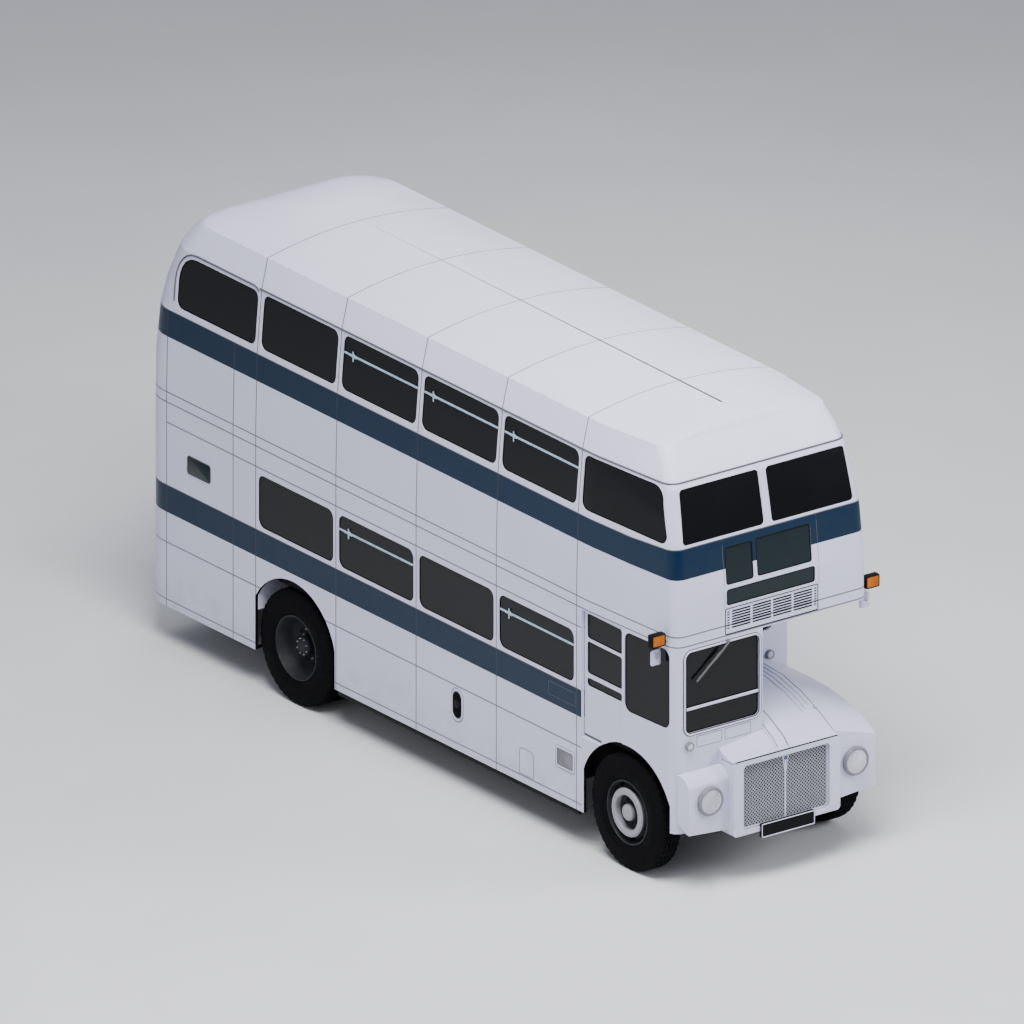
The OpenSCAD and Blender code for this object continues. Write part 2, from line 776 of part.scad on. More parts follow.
module front_wings() color([0.71, 0.71, 0.77]) {
    intersection() {
        wing(nose_rows);
        span(x_bulk + seat_gap, x_nose, 0, half_w, 0, 2000);
    }
    mirror([0, 1, 0]) intersection() {
        wing(cab_wing_rows);
        span(x_front + seat_gap, x_nose, 0, half_w, 0, 2000);
    }
}

rad_back_x = x_front + 40;
module radiator_shell() color([0.71, 0.71, 0.77]) {
    difference() {
        cross_pane(-rad_half_w, rad_half_w, rad_bottom_z, rad_top_z, 40, rad_back_x, rad_front_x);
        cross_pane(-505, 505, rad_bottom_z + 45, rad_top_z - 45, 45, rad_back_x - cut,
            rad_front_x + cut);
    }
}

module radiator_grille() color([0.12, 0.12, 0.13]) {
    cross_pane(-505 + seat_gap, 505 - seat_gap, rad_bottom_z + 45 + seat_gap,
        rad_top_z - 45 - seat_gap, 45, rad_front_x - 70, rad_front_x - 20);
}

// ------------------------------------------------------------------ lamps

lamp_y = half_w - 345;
lamp_z = 900;
lamp_r = 145;
module front_lamps() color([0.8, 0.8, 0.8]) {
    both_sides() along(lamp_y, lamp_z, lamp_r, wing_front_x + seat_gap, wing_front_x + 45);
    along(221 - half_w, 1430, 45, x_front + seat_gap, x_front + 40);
    along(half_w - 215, 1458, 45, x_bulk + seat_gap, x_bulk + 40);
}

module tail_lamps() color([0.6, 0.05, 0.04]) {
    for (y = [-780, 560]) along(y, 900, 45, x_rear - lamp_proud, x_rear - seat_gap);
}

arm_x = x_front - 130;
arm_w = half_w + 135;
module indicators() color([0.05, 0.05, 0.05]) {
    both_sides() span(arm_x - 40, arm_x + 40, side_y(arm_x - 40) + seat_gap, arm_w, deck_z - 110,
        deck_z - seat_gap);
}

module mirrors() color([0.7, 0.7, 0.72]) {
    both_sides() {
        along(half_w + 25, deck_z - 200, 7, arm_x - 62, arm_x);
        translate([arm_x, half_w + 25, deck_z - 207])
            cylinder(r = 7, h = 207 - 110 - seat_gap);
        translate([arm_x - 72, 0, 0]) cross_pane(half_w - 35, half_w + 85, deck_z - 300,
            deck_z - 100, 25, 0, 30);
    }
}

module number_plates() color([0.05, 0.05, 0.05]) {
    span(rad_front_x + seat_gap, x_nose, -314, 314, 423, 564);
    for (y = [-240, 240]) span(rad_front_x - 10, rad_front_x + 2, y - 15, y + 15, 470, 489.5);
}

// ------------------------------------------------------------------ glass

module window_glass() color([0.15, 0.15, 0.17]) {
    y0 = half_w - glass_in - glass_t;
    y1 = half_w - glass_in;
    for (k = [0:bays - 1]) {
        lower_window(k, y0, y1, seat_gap);
        lower_window(k, -y1, -y0, seat_gap);
    }
    for (k = [0:last_upper]) intersection() {
        upper_shell(glass_in, glass_in + glass_t);
        union() {
            upper_window(k, -half_w, -half_w / 2, seat_gap);
            upper_window(k, half_w / 2, half_w, seat_gap);
        }
    }
    intersection() {
        upper_shell(glass_in, glass_in + glass_t);
        for (side = [0, 1]) front_window(side, x_front - 400, x_front + cut, seat_gap);
    }
    cross_pane(rear_win[0] + seat_gap, rear_win[1] - seat_gap, rear_win[2] + seat_gap,
        rear_win[3] - seat_gap, window_r - seat_gap, x_rear + glass_in,
        x_rear + glass_in + glass_t);
}

// Fixed glass of the cab and of the bulkheads
module cab_glass() color([0.15, 0.15, 0.17]) {
    g = seat_gap;
    cross_pane(screen[0] + 25 + g, screen[1] - 25 - g, screen[2] + 25 + g, screen[3] - 25 - g,
        60 - g, x_front - glass_in - glass_t, x_front - glass_in);
    intersection() {
        translate([0, 0, quarter[2]]) linear_extrude(quarter[3] - quarter[2]) difference() {
            polygon(plan_points(glass_in));
            polygon(plan_points(glass_in + glass_t));
        }
        pane(quarter[0] + g, quarter[1] - g, quarter[2] + g, quarter[3] - g, window_r - g,
            -half_w, 0);
    }
    pane(inner_win[0] + g, inner_win[1] - g, inner_win[2] + g, inner_win[3] - g, window_r - g,
        cab_inner_y - cab_wall_t / 2 - glass_t, cab_inner_y - cab_wall_t / 2);
    for (w = bulk_wins) cross_pane(w[0] + g, w[1] - g, w[2] + g, w[3] - g, window_r - g,
        x_bulk - bulkhead_t / 2 - glass_t, x_bulk - bulkhead_t / 2);
    cross_pane(rear_bulk_win[0] + g, rear_bulk_win[1] - g, rear_bulk_win[2] + g,
        rear_bulk_win[3] - g, window_r - g, x_bay_rear - 24, x_bay_rear - 16);
}

module blind_glass() color([0.15, 0.19, 0.20]) {
    intersection() {
        upper_shell(glass_in / 2, glass_in / 2 + glass_t);
        blind_panes(seat_gap);
    }
}

// -------------------------------------------------------- seats and rails

seat_x0 = x_bulk - bulkhead_t - 560;
upper_seat_x0 = x_front - 900;
// Lower seats stay clear of the cab door when it is open
seat_y = door_y - door_t - 15 - seat_w / 2;
upper_seat_y = inner_w - 90 - seat_w / 2;
cushion_d = 420;
cushion_t = 95;
back_t = 70;
back_h = 430;
seat_h = 400;
tube_r = 14;

function lower_seats() = [for (i = [0:lower_rows - 1]) for (s = [-1, 1])
    [seat_x0 - i * seat_pitch, s * seat_y, floor_z]];
function upper_seats() = [for (i = [0:upper_rows - 1]) for (s = [-1, 1])
    if (s > 0 || upper_seat_x0 - i * seat_pitch > well_x1 + 300)
        [upper_seat_x0 - i * seat_pitch, s * upper_seat_y, upper_floor_z]];

// Frame of one double seat, its place being the middle of the cushion's rear
module seat_frame(p) {
    translate(p) {
        for (y = [-seat_w / 2 + 40, seat_w / 2 - 40]) {
            translate([60, y, 0]) cylinder(r = tube_r, h = seat_h - 18);
            translate([cushion_d - 60, y, 0]) cylinder(r = tube_r, h = seat_h - 18);
            translate([-40, y, seat_h - 30]) cylinder(r = tube_r, h = 560);
        }
        span(-58, cushion_d - 10, -seat_w / 2 + 10, seat_w / 2 - 10, seat_h - 20, seat_h);
        across(-40, seat_h + 530, tube_r, -seat_w / 2 + 40, seat_w / 2 - 40);
    }
}

module seat_pads(p) {
    translate(p) {
        span(40, cushion_d, -seat_w / 2, seat_w / 2, seat_h + seat_gap, seat_h + cushion_t);
        span(-40 + tube_r + seat_gap, -40 + tube_r + back_t, -seat_w / 2 + 5, seat_w / 2 - 5,
            seat_h + cushion_t + 5, seat_h + cushion_t + back_h);
    }
}

driver_x = x_bulk + 170;
driver_y = -600;
module seat_frames() color([0.25, 0.25, 0.26]) {
    for (p = lower_seats()) seat_frame(p);
    for (p = upper_seats()) seat_frame(p);
    // Driver's seat pedestal, standing on the box over the wheel
    span(driver_x, driver_x + 380, driver_y - 210, driver_y + 35, cab_box_z, cab_box_z + 80);
}

module seat_cushions() color([0.12, 0.20, 0.26]) {
    for (p = lower_seats()) seat_pads(p);
    for (p = upper_seats()) seat_pads(p);
    span(driver_x, driver_x + 430, driver_y - 230, driver_y + 230, cab_box_z + 80 + seat_gap,
        cab_box_z + 170);
    span(driver_x - 50, driver_x + 40, driver_y - 220, driver_y + 220, cab_box_z + 170 + seat_gap,
        cab_box_z + 640);
}

wheel_rim_r = 240;
column_l = 560;
module steering_wheel() color([0.06, 0.06, 0.06]) {
    difference() {
        translate([driver_x + 700, driver_y, cab_box_z + 447]) rotate([0, -25, 0]) {
            rotate_extrude() translate([wheel_rim_r, 0]) circle(r = 15);
            for (a = [0:120:240]) rotate([0, 90, a]) cylinder(r = 9, h = wheel_rim_r);
            cylinder(r = 40, h = 30, center = true);
            translate([0, 0, -column_l]) cylinder(r = 20, h = column_l);
        }
        span(driver_x, x_front, driver_y - 60, driver_y + 60, 0, cab_box_z + seat_gap);
    }
}

module handrails() color([0.75, 0.75, 0.75]) {
    translate([x_rear + 260, 560, platform_z]) cylinder(r = 18, h = canopy_z + 20 - platform_z);
}

// ---------------------------------------------------------------- chassis

rail_y = 430;
rail_w = 70;
rail_top = floor_z - floor_t;
module engine() color([0.20, 0.22, 0.22]) {
    span(x_bulk + 110, x_front - 130, cab_inner_y + 10, rail_y - rail_w / 2, 560, 1200);
}

module chassis() color([0.08, 0.08, 0.08]) {
    x0 = x_bay_rear + seat_gap;
    x1 = x_front - 30;
    b = rail_top - 75;
    d = rail_top - 160;
    union() {
        both_sides() translate([0, rail_y + rail_w / 2, 0]) rotate([90, 0, 0])
            linear_extrude(rail_w) polygon([
                [x0, rail_top], [x0, b], [x_rear_axle + 550, b], [x_rear_axle + 700, d],
                [x_front_axle - 750, d], [x_front_axle - 600, b], [x1, b], [x1, rail_top]]);
        for (x = [x_rear_axle + 750, bay_x(2), bay_x(3), x_bay_front - 60])
            span(x - 35, x + 35, -inner_w + seat_gap, inner_w - seat_gap, rail_top - 70, rail_top);
        for (x = [x_front - 100, x0 + 60]) span(x - 30, x + 30, -rail_y, rail_y, b, rail_top);
    }
}

module front_axle() color([0.08, 0.08, 0.08]) {
    x = x_front_axle;
    z0 = axle_z - 35;
    z_beam = 430;
    z_spring = z_beam + 70;
    rail_bottom = rail_top - 75;
    span(x - 40, x + 40, -700, 700, z_beam, z_spring);
    both_sides() {
        span(x - 560, x + 560, rail_y - rail_w / 2, rail_y + rail_w / 2, z_spring, z_spring + 50);
        for (d = [-530, 530]) span(x + d - 30, x + d + 30, rail_y - rail_w / 2,
            rail_y + rail_w / 2, z_spring, rail_bottom);
        span(x - 40, x + 40, 640, 720, 430, z0 + 70);
        span(x - 40, x + 40, 640, kingpin_y - 20, z0, z0 + 70);
        difference() {
            translate([x, kingpin_y, z0]) cylinder(r = 40, h = 70);
            translate([x, kingpin_y, z0 - cut]) cylinder(r = 18 + run_gap, h = 80);
        }
    }
}

// Steering knuckle for the +Y side: a fork on the axle eye and a stub
module knuckle() {
    x = x_front_axle;
    z0 = axle_z - 35;
    t = 30;
    translate([x, kingpin_y, z0 - t - 5]) {
        cylinder(r = 18, h = 70 + 2 * t + 10);
        cylinder(r = 40, h = t);
        translate([0, 0, 70 + t + 10]) cylinder(r = 40, h = t);
        span(-40, 40, 0, 78, 0, t);
        translate([0, 0, 70 + t + 10]) span(-40, 40, 0, 78, 0, t);
        span(-40, 40, 48, 78, 0, 70 + 2 * t + 10);
    }
    across(x, axle_z, stub_r, kingpin_y + 60, wheel_y + 95);
}
module knuckle_left() color([0.08, 0.08, 0.08]) knuckle();
module knuckle_right() color([0.08, 0.08, 0.08]) mirror([0, 1, 0]) knuckle();

module rear_axle() color([0.08, 0.08, 0.08]) {
    across(x_rear_axle, axle_z, 60, -(wheel_box_in - 40), wheel_box_in - 40);
    both_sides() {
        across(x_rear_axle, axle_z, rear_stub_r, wheel_box_in - 50, wheel_y - 10);
        y0 = rail_y + rail_w / 2;
        z0 = axle_z + 50;
        span(x_rear_axle - 560, x_rear_axle + 560, y0 + 10, y0 + 70, z0, z0 + 60);
        for (d = [-530, 530]) span(x_rear_axle + d - 30, x_rear_axle + d + 30, y0, y0 + 70,
            z0 + 30, rail_top);
    }
    translate([x_rear_axle, 0, axle_z - 40]) rotate([90, 0, 0])
        cylinder(r = 170, h = 260, center = true);
}

// ----------------------------------------------------------------- wheels

// Tyre section turned about its axle, which runs along +Z here
module tyre_form() {
    r = 40;
    w = tyre_w / 2;
    rotate_extrude($fn = 96) polygon(concat(
        [[rim_r, -w + 20], [rim_r + 40, -w + 4]],
        [[tyre_r - 90, -w]],
        arc(tyre_r - r, -w + r + 8, r, -60, 0, 4),
        arc(tyre_r - r, w - r - 8, r, 0, 60, 4),
        [[tyre_r - 90, w]],
        [[rim_r + 40, w - 4], [rim_r, w - 20]]));
}

// Rim barrel whose disc runs from z = edge at the barrel to z = dish inside
module rim_form(edge, dish) {
    w = tyre_w / 2 - 20;
    disc_t = 14;
    hand_hole_r = 24;
    difference() {
        union() {
            rotate_extrude($fn = 96) polygon([[rim_r, -w], [rim_r, w], [rim_r - 14, w],
                [rim_r - 30, w - 30], [rim_r - 30, -w + 30], [rim_r - 14, -w]]);
            rotate_extrude($fn = 96) polygon([[0, dish], [200, dish], [rim_r - 25, edge],
                [rim_r - 25, edge + disc_t], [200, dish + disc_t], [0, dish + disc_t]]);
        }
        for (a = [0:36:359]) rotate([0, 0, a]) translate([165, 0, dish - cut])
            cylinder(r = hand_hole_r, h = disc_t + 2 * cut, $fn = 24);
    }
}

// A hub on the wheels from h0 to h1, bored for the stub up to h1 - cap
module hubbed(h0, h1, bore, cap) {
    difference() {
        union() {
            children();
            translate([0, 0, h0]) cylinder(r = hub_r, h = h1 - h0);
        }
        translate([0, 0, h0 - 100]) cylinder(r = bore + run_gap, h = h1 - h0 + 100 - cap);
    }
}

// Puts a form with its axle along +Z onto the bus, facing out to +Y
module on_axle(x, y) {
    translate([x, y, axle_z]) rotate([-90, 0, 0]) children();
}

module front_tyre() on_axle(x_front_axle, wheel_y) tyre_form();
module front_rim() on_axle(x_front_axle, wheel_y)
    hubbed(5, 118, stub_r, 15) rim_form(15, 60);
module rear_tyre_pair() {
    on_axle(x_rear_axle, wheel_y) tyre_form();
    on_axle(x_rear_axle, wheel_y - tyre_w - twin_gap) tyre_form();
}
module rear_rim_pair() {
    twin = tyre_w + twin_gap;
    on_axle(x_rear_axle, wheel_y) hubbed(-twin - 110, 60, rear_stub_r, 60) {
        rim_form(-60, -twin / 2);
        translate([0, 0, -twin]) mirror([0, 0, 1]) rim_form(-60, -twin / 2);
    }
}

module front_tyre_left() color([0.04, 0.04, 0.04]) front_tyre();
module front_tyre_right() color([0.04, 0.04, 0.04]) mirror([0, 1, 0]) front_tyre();
module front_wheel_left() color([0.16, 0.16, 0.17]) front_rim();
module front_wheel_right() color([0.16, 0.16, 0.17]) mirror([0, 1, 0]) front_rim();
module rear_tyres_left() color([0.04, 0.04, 0.04]) rear_tyre_pair();
module rear_tyres_right() color([0.04, 0.04, 0.04]) mirror([0, 1, 0]) rear_tyre_pair();
module rear_wheels_left() color([0.16, 0.16, 0.17]) rear_rim_pair();
module rear_wheels_right() color([0.16, 0.16, 0.17]) mirror([0, 1, 0]) rear_rim_pair();

// -------------------------------------------------------------- tow eyes

eye_r = 20;
eye_t = 40;
tow_z = skirt_z;
module tow_eye(x, z, x_root) {
    difference() {
        union() {
            translate([x, 0, z]) cylinder(r = 60, h = eye_t);
            span(min(x, x_root), max(x, x_root), -60, 60, z, z + eye_t);
        }
        translate([x, 0, z - cut]) cylinder(r = eye_r, h = eye_t + 2 * cut);
    }
}
module tow_eyes() color([0.08, 0.08, 0.08]) {
    bracket_x = x_front - 70;
    tow_eye(x_front + 110, tow_z, bracket_x);
    span(bracket_x, bracket_x + 25, -60, 60, tow_z, rail_top - 20);
    tow_eye(x_rear + 60, 340, x_rear + 260);
}

// --------------------------------------------------------------- cab door

door_panes = [[2138, 2388], [1785, 2108], [1660, 1742]];
door_pane_x = [x_jamb + 40, x_door_front - 18];
door_slide = 560;
module cab_door() color([0.71, 0.71, 0.77]) {
    difference() {
        span(x_jamb - 20, x_door_front - panel_gap, -door_y, -door_y + door_t, door_sill_z,
            canopy_z - panel_gap);
        for (p = door_panes) pane(door_pane_x[0], door_pane_x[1], p[0], p[1], 30,
            -door_y - cut, -door_y + door_t + cut);
        across(x_front_axle, axle_z, arch_r, -half_w, 0);
    }
}
module cab_door_glass() color([0.15, 0.15, 0.17]) {
    for (p = door_panes) pane(door_pane_x[0], door_pane_x[1], p[0], p[1], 30,
        -door_y + 10, -door_y + 10 + glass_t);
}

// ------------------------------------------------------------------ nodes

lower_side_right();
lower_side_left();
lower_rear();
upper_side_right();
upper_side_left();
upper_front();
upper_rear();
roof();
canopy();
lower_floor();
platform();
upper_floor();
staircase();
bulkheads();
cab_front();
cab_side();
cab_inner_wall();
cab_floor();
front_wings();
radiator_shell();
radiator_grille();
bonnet_side();
front_lamps();
tail_lamps();
indicators();
mirrors();
number_plates();
window_glass();
cab_glass();
blind_glass();
seat_frames();
seat_cushions();
steering_wheel();
handrails();
engine();
chassis();
front_axle();
rear_axle();
tow_eyes();
cab_door();
cab_door_glass();
bonnet();
emergency_window();
emergency_glass();
knuckle_right();
knuckle_left();
front_tyre_right();
front_wheel_right();
front_tyre_left();
front_wheel_left();
rear_tyres_right();
rear_wheels_right();
rear_tyres_left();
rear_wheels_left();
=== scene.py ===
"""Half-cab double decker bus: looks, small pieces and studio, in the CAD frame (metres)."""

import math

import bmesh
import bpy
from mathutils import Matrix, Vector
from mathutils.bvhtree import BVHTree


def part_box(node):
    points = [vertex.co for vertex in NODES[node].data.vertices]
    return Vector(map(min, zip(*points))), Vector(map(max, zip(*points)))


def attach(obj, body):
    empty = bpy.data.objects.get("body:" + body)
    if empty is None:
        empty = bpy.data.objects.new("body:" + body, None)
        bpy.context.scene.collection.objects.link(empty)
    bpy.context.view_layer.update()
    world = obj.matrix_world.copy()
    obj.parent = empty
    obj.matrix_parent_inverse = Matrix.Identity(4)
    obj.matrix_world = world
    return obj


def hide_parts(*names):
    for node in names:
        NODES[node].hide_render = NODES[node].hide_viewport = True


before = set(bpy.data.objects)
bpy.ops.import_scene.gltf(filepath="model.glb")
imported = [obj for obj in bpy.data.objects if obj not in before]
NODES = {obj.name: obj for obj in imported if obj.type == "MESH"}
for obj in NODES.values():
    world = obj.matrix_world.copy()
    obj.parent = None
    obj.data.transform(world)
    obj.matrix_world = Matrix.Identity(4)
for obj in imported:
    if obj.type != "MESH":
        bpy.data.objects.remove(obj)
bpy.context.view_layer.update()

# ------------------------------------------------------- places in the frame


def low(node):
    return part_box(node)[0]


def high(node):
    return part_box(node)[1]


HALF_W = high("lower_side_left").y
SKIRT_Z = low("lower_side_left").z
BELT_Z = 1.025
DECK_Z = high("canopy").z
CANOPY_Z = low("canopy").z
GUTTER_Z = low("roof").z
X_REAR = low("lower_rear").x
X_FRONT = high("cab_front").x
X_JAMB = low("canopy").x
X_REAR_BAY = low("lower_side_left").x + 0.05
LOWER_BAND = (1.328, 1.600)
UPPER_BAND = (3.092, 3.360)
BAY_PITCH = 1.25375


# ------------------------------------------------------------ material tools


class Look:
    """One procedural material, with short ways to wire its nodes."""

    def __init__(self, name, colour, rough, **sockets):
        self.material = bpy.data.materials.new(name)
        self.material.use_nodes = True
        tree = self.material.node_tree
        self.nodes, self.links = tree.nodes, tree.links
        self.shader = self.nodes["Principled BSDF"]
        self.shader.inputs["Base Color"].default_value = (*colour, 1.0)
        self.shader.inputs["Roughness"].default_value = rough
        for socket, value in sockets.items():
            self.shader.inputs[socket.replace("_", " ")].default_value = value
        self.place = self.node("ShaderNodeTexCoord").outputs["Object"]
        split = self.node("ShaderNodeSeparateXYZ", self.place)
        self.x, self.y, self.z = split.outputs

    def node(self, kind, *inputs, **settings):
        made = self.nodes.new(kind)
        for name, value in settings.items():
            setattr(made, name, value)
        for k, value in enumerate(inputs):
            if value is not None:
                self.feed(made.inputs[k], value)
        return made

    def feed(self, socket, value):
        if isinstance(value, bpy.types.NodeSocket):
            self.links.new(value, socket)
        else:
            socket.default_value = value

    def math(self, operation, *values):
        return self.node("ShaderNodeMath", *values, operation=operation).outputs[0]

    def both(self, *masks):
        total = masks[0]
        for mask in masks[1:]:
            total = self.math("MULTIPLY", total, mask)
        return total

    def either(self, *masks):
        total = masks[0]
        for mask in masks[1:]:
            total = self.math("MAXIMUM", total, mask)
        return total

    def between(self, value, low_end, high_end):
        return self.both(
            self.math("GREATER_THAN", value, low_end),
            self.math("LESS_THAN", value, high_end),
        )

    def line(self, value, at, half=0.0068):
        return self.math("COMPARE", value, at, half)

    def noise(self, scale, detail=3.0, stretch=None):
        place = self.place
        if stretch:
            place = self.node("ShaderNodeVectorMath", place, stretch, operation="MULTIPLY").outputs[0]
        made = self.node("ShaderNodeTexNoise", place)
        made.inputs["Scale"].default_value = scale
        made.inputs["Detail"].default_value = detail
        return made.outputs["Fac"]

    def spread(self, value, out_low, out_high, in_low=0.3, in_high=0.7):
        made = self.node("ShaderNodeMapRange", value, in_low, in_high, out_low, out_high)
        return made.outputs[0]

    def mix(self, factor, first, second, blend="MIX"):
        made = self.node("ShaderNodeMix", data_type="RGBA", blend_type=blend)
        self.feed(made.inputs["Factor"], factor)
        for socket, value in ((made.inputs[6], first), (made.inputs[7], second)):
            self.feed(socket, (*value, 1.0) if isinstance(value, tuple) else value)
        return made.outputs[2]

    def colour(self, value):
        self.links.new(value, self.shader.inputs["Base Color"])

    def rough(self, value):
        self.links.new(value, self.shader.inputs["Roughness"])

    def bump(self, height, distance, strength=1.0):
        made = self.node("ShaderNodeBump")
        made.inputs["Strength"].default_value = strength
        made.inputs["Distance"].default_value = distance
        self.links.new(height, made.inputs["Height"])
        if self.shader.inputs["Normal"].links:
            self.links.new(self.shader.inputs["Normal"].links[0].from_socket, made.inputs["Normal"])
        self.links.new(made.outputs[0], self.shader.inputs["Normal"])


def plain(name, colour, rough, grain, depth, vary=0.12, **sockets):
    """A surface with a fine grain, a little colour variation and worn roughness."""
    look = Look(name, colour, rough, **sockets)
    cloud = look.noise(grain * 0.12, 4.0)
    light = tuple(min(1.0, c * (1 + vary)) for c in colour)
    dark = tuple(c * (1 - vary) for c in colour)
    look.colour(look.mix(look.spread(cloud, 0.0, 1.0), dark, light))
    look.rough(look.spread(look.noise(grain * 0.3), max(0.04, rough - 0.07), min(1.0, rough + 0.07)))
    look.bump(look.noise(grain, 2.0), depth, 0.4)
    return look.material


# ----------------------------------------------------------------- materials

WHITE = (0.60, 0.60, 0.76)
TEAL = (0.0, 0.013, 0.036)
SEAM = (0.03, 0.03, 0.04)


def coach_paint(name, white, banded):
    """Gloss coach paint: white panels, teal bands, panel seams and road dust."""
    look = Look(name, white, 0.34, Coat_Weight=0.06, Coat_Roughness=0.15, Specular_IOR_Level=0.2)
    tone = look.mix(
        look.spread(look.noise(0.9, 4.0), 0.0, 1.0),
        tuple(c * 0.965 for c in white),
        tuple(min(1.0, c * 1.02) for c in white),
    )
    side = look.math("GREATER_THAN", look.math("ABSOLUTE", look.y), HALF_W - 0.16)
    behind_cab = look.math("LESS_THAN", look.x, X_JAMB)
    at_bay = look.line(look.math("PINGPONG", look.math("SUBTRACT", look.x, X_REAR_BAY), BAY_PITCH / 2), 0.0)
    bays = look.both(at_bay, look.between(look.x, X_REAR_BAY - 0.1, X_JAMB))
    seams = bays
    if banded:
        rise = look.spread(look.x, 0.0, 0.04, X_JAMB + 0.7, X_FRONT)
        above = look.math("SUBTRACT", look.z, rise)
        lower = look.both(look.between(look.z, *LOWER_BAND), behind_cab)
        above_foot = look.math("SUBTRACT", look.z, look.math("MULTIPLY", rise, 0.35))
        upper = look.both(
            look.math("GREATER_THAN", above_foot, UPPER_BAND[0]),
            look.math("LESS_THAN", above, UPPER_BAND[1]),
        )
        tone = look.mix(look.either(lower, upper), tone, TEAL)
        rear_seams = look.either(look.line(look.x, X_REAR + 0.405), look.line(look.x, X_REAR_BAY - 0.352))
        low_rows = look.either(*[look.line(look.z, z) for z in (BELT_Z, SKIRT_Z + 0.07, LOWER_BAND[1])])
        rain = look.both(look.line(look.z, CANOPY_Z - 0.186), look.math("GREATER_THAN", look.x, X_REAR + 0.4))
        deck_rows = look.either(look.line(look.z, CANOPY_Z + 0.018), look.line(look.z, DECK_Z))
        band_top = look.line(above, UPPER_BAND[1])
        seams = look.either(
            look.both(bays, side),
            look.both(rear_seams, side, look.math("LESS_THAN", look.z, UPPER_BAND[1])),
            look.both(look.either(low_rows, rain), behind_cab),
            deck_rows,
            band_top,
        )
    tone = look.mix(look.math("MULTIPLY", seams, 0.8), tone, SEAM)
    dust = look.both(
        look.spread(look.z, 1.0, 0.0, SKIRT_Z, SKIRT_Z + 0.55),
        look.spread(look.noise(5.0, 6.0), 0.0, 0.35),
    )
    tone = look.mix(dust, tone, (0.28, 0.27, 0.26))
    look.colour(tone)
    look.rough(look.spread(look.noise(7.0, 5.0), 0.32, 0.40))
    look.bump(look.noise(1.6, 1.0), 0.004, 0.25)
    look.bump(look.noise(220.0, 1.0), 0.0002, 0.25)
    look.bump(look.math("SUBTRACT", 1.0, seams), 0.002, 0.6)
    return look.material


def bulkhead_paint():
    """White, near black below a ragged line at about 1.15 m on the front bulkhead between the wheels."""
    look = Look("bulkhead_paint", WHITE, 0.4, Specular_IOR_Level=0.2)
    tone = look.mix(look.spread(look.noise(0.9, 4.0), 0.0, 1.0), tuple(c * 0.96 for c in WHITE), WHITE)
    # Below this ragged height the front of the bulkhead is near black.
    dark_below = look.spread(look.noise(40.0, 4.0), 1.150, 1.158)
    low_front = look.both(look.math("LESS_THAN", look.z, dark_below), look.math("GREATER_THAN", look.x, 0.0))
    look.colour(look.mix(low_front, tone, (0.003, 0.003, 0.0035)))
    look.rough(look.spread(look.noise(7.0, 5.0), 0.34, 0.5))
    look.bump(look.noise(120.0, 2.0), 0.0006, 0.4)
    return look.material


def striped(name, colour, rough, axis, pitch, depth, **sockets):
    """A ribbed surface: ribs that repeat along one axis of the frame, with painted shade darkening the
    grooves between them.
    """
    look = Look(name, colour, rough, **sockets)
    across = {"x": look.x, "y": look.y, "z": look.z}[axis]
    rib = look.math("PINGPONG", across, pitch / 2)
    height = look.spread(rib, 0.0, 1.0, pitch * 0.12, pitch * 0.2)
    wear = look.spread(look.noise(6.0, 6.0), 0.75, 1.3)
    # The grooves are painted darker than the ribs: painted shade in the recesses.
    shade = look.mix(height, tuple(c * 0.55 for c in colour), colour)
    grey = look.node("ShaderNodeVectorMath", shade, operation="SCALE")
    look.feed(grey.inputs["Scale"], wear)
    look.colour(grey.outputs[0])
    look.rough(look.spread(look.noise(14.0), max(0.05, rough - 0.1), min(1.0, rough + 0.1)))
    look.bump(height, depth)
    return look.material


def moquette():
    """Woven seat cloth: a small check in blue, green and grey, with a pile."""
    look = Look("moquette", (0.05, 0.09, 0.12), 0.95, Sheen_Weight=0.5, Sheen_Roughness=0.4)
    across = look.math("PINGPONG", look.y, 0.03)
    along = look.math("PINGPONG", look.math("ADD", look.x, look.z), 0.03)
    check = look.either(look.line(across, 0.03, 0.006), look.line(along, 0.03, 0.006))
    thread = look.either(look.line(across, 0.012, 0.0025), look.line(along, 0.012, 0.0025))
    tone = look.mix(look.spread(look.noise(60.0, 4.0), 0.0, 1.0), (0.018, 0.045, 0.07), (0.03, 0.075, 0.11))
    tone = look.mix(look.math("MULTIPLY", check, 0.8), tone, (0.09, 0.11, 0.10))
    tone = look.mix(look.math("MULTIPLY", thread, 0.7), tone, (0.22, 0.10, 0.03))
    look.colour(tone)
    weave_u = look.math("SINE", look.math("MULTIPLY", look.y, 2400.0))
    weave_v = look.math("SINE", look.math("MULTIPLY", look.math("ADD", look.x, look.z), 2400.0))
    look.bump(look.math("MULTIPLY", weave_u, weave_v), 0.0006, 0.5)
    look.bump(look.noise(30.0, 3.0), 0.002, 0.3)
    return look.material


def floor_look():
    look = Look("studio_floor", (0.80, 0.80, 0.81), 0.75)
    cloud = look.noise(0.35, 5.0)
    look.colour(look.mix(look.spread(cloud, 0.0, 1.0), (0.70, 0.70, 0.715), (0.75, 0.75, 0.765)))
    look.rough(look.spread(look.noise(2.0), 0.65, 0.85))
    look.bump(look.noise(40.0), 0.001, 0.15)
    return look.material


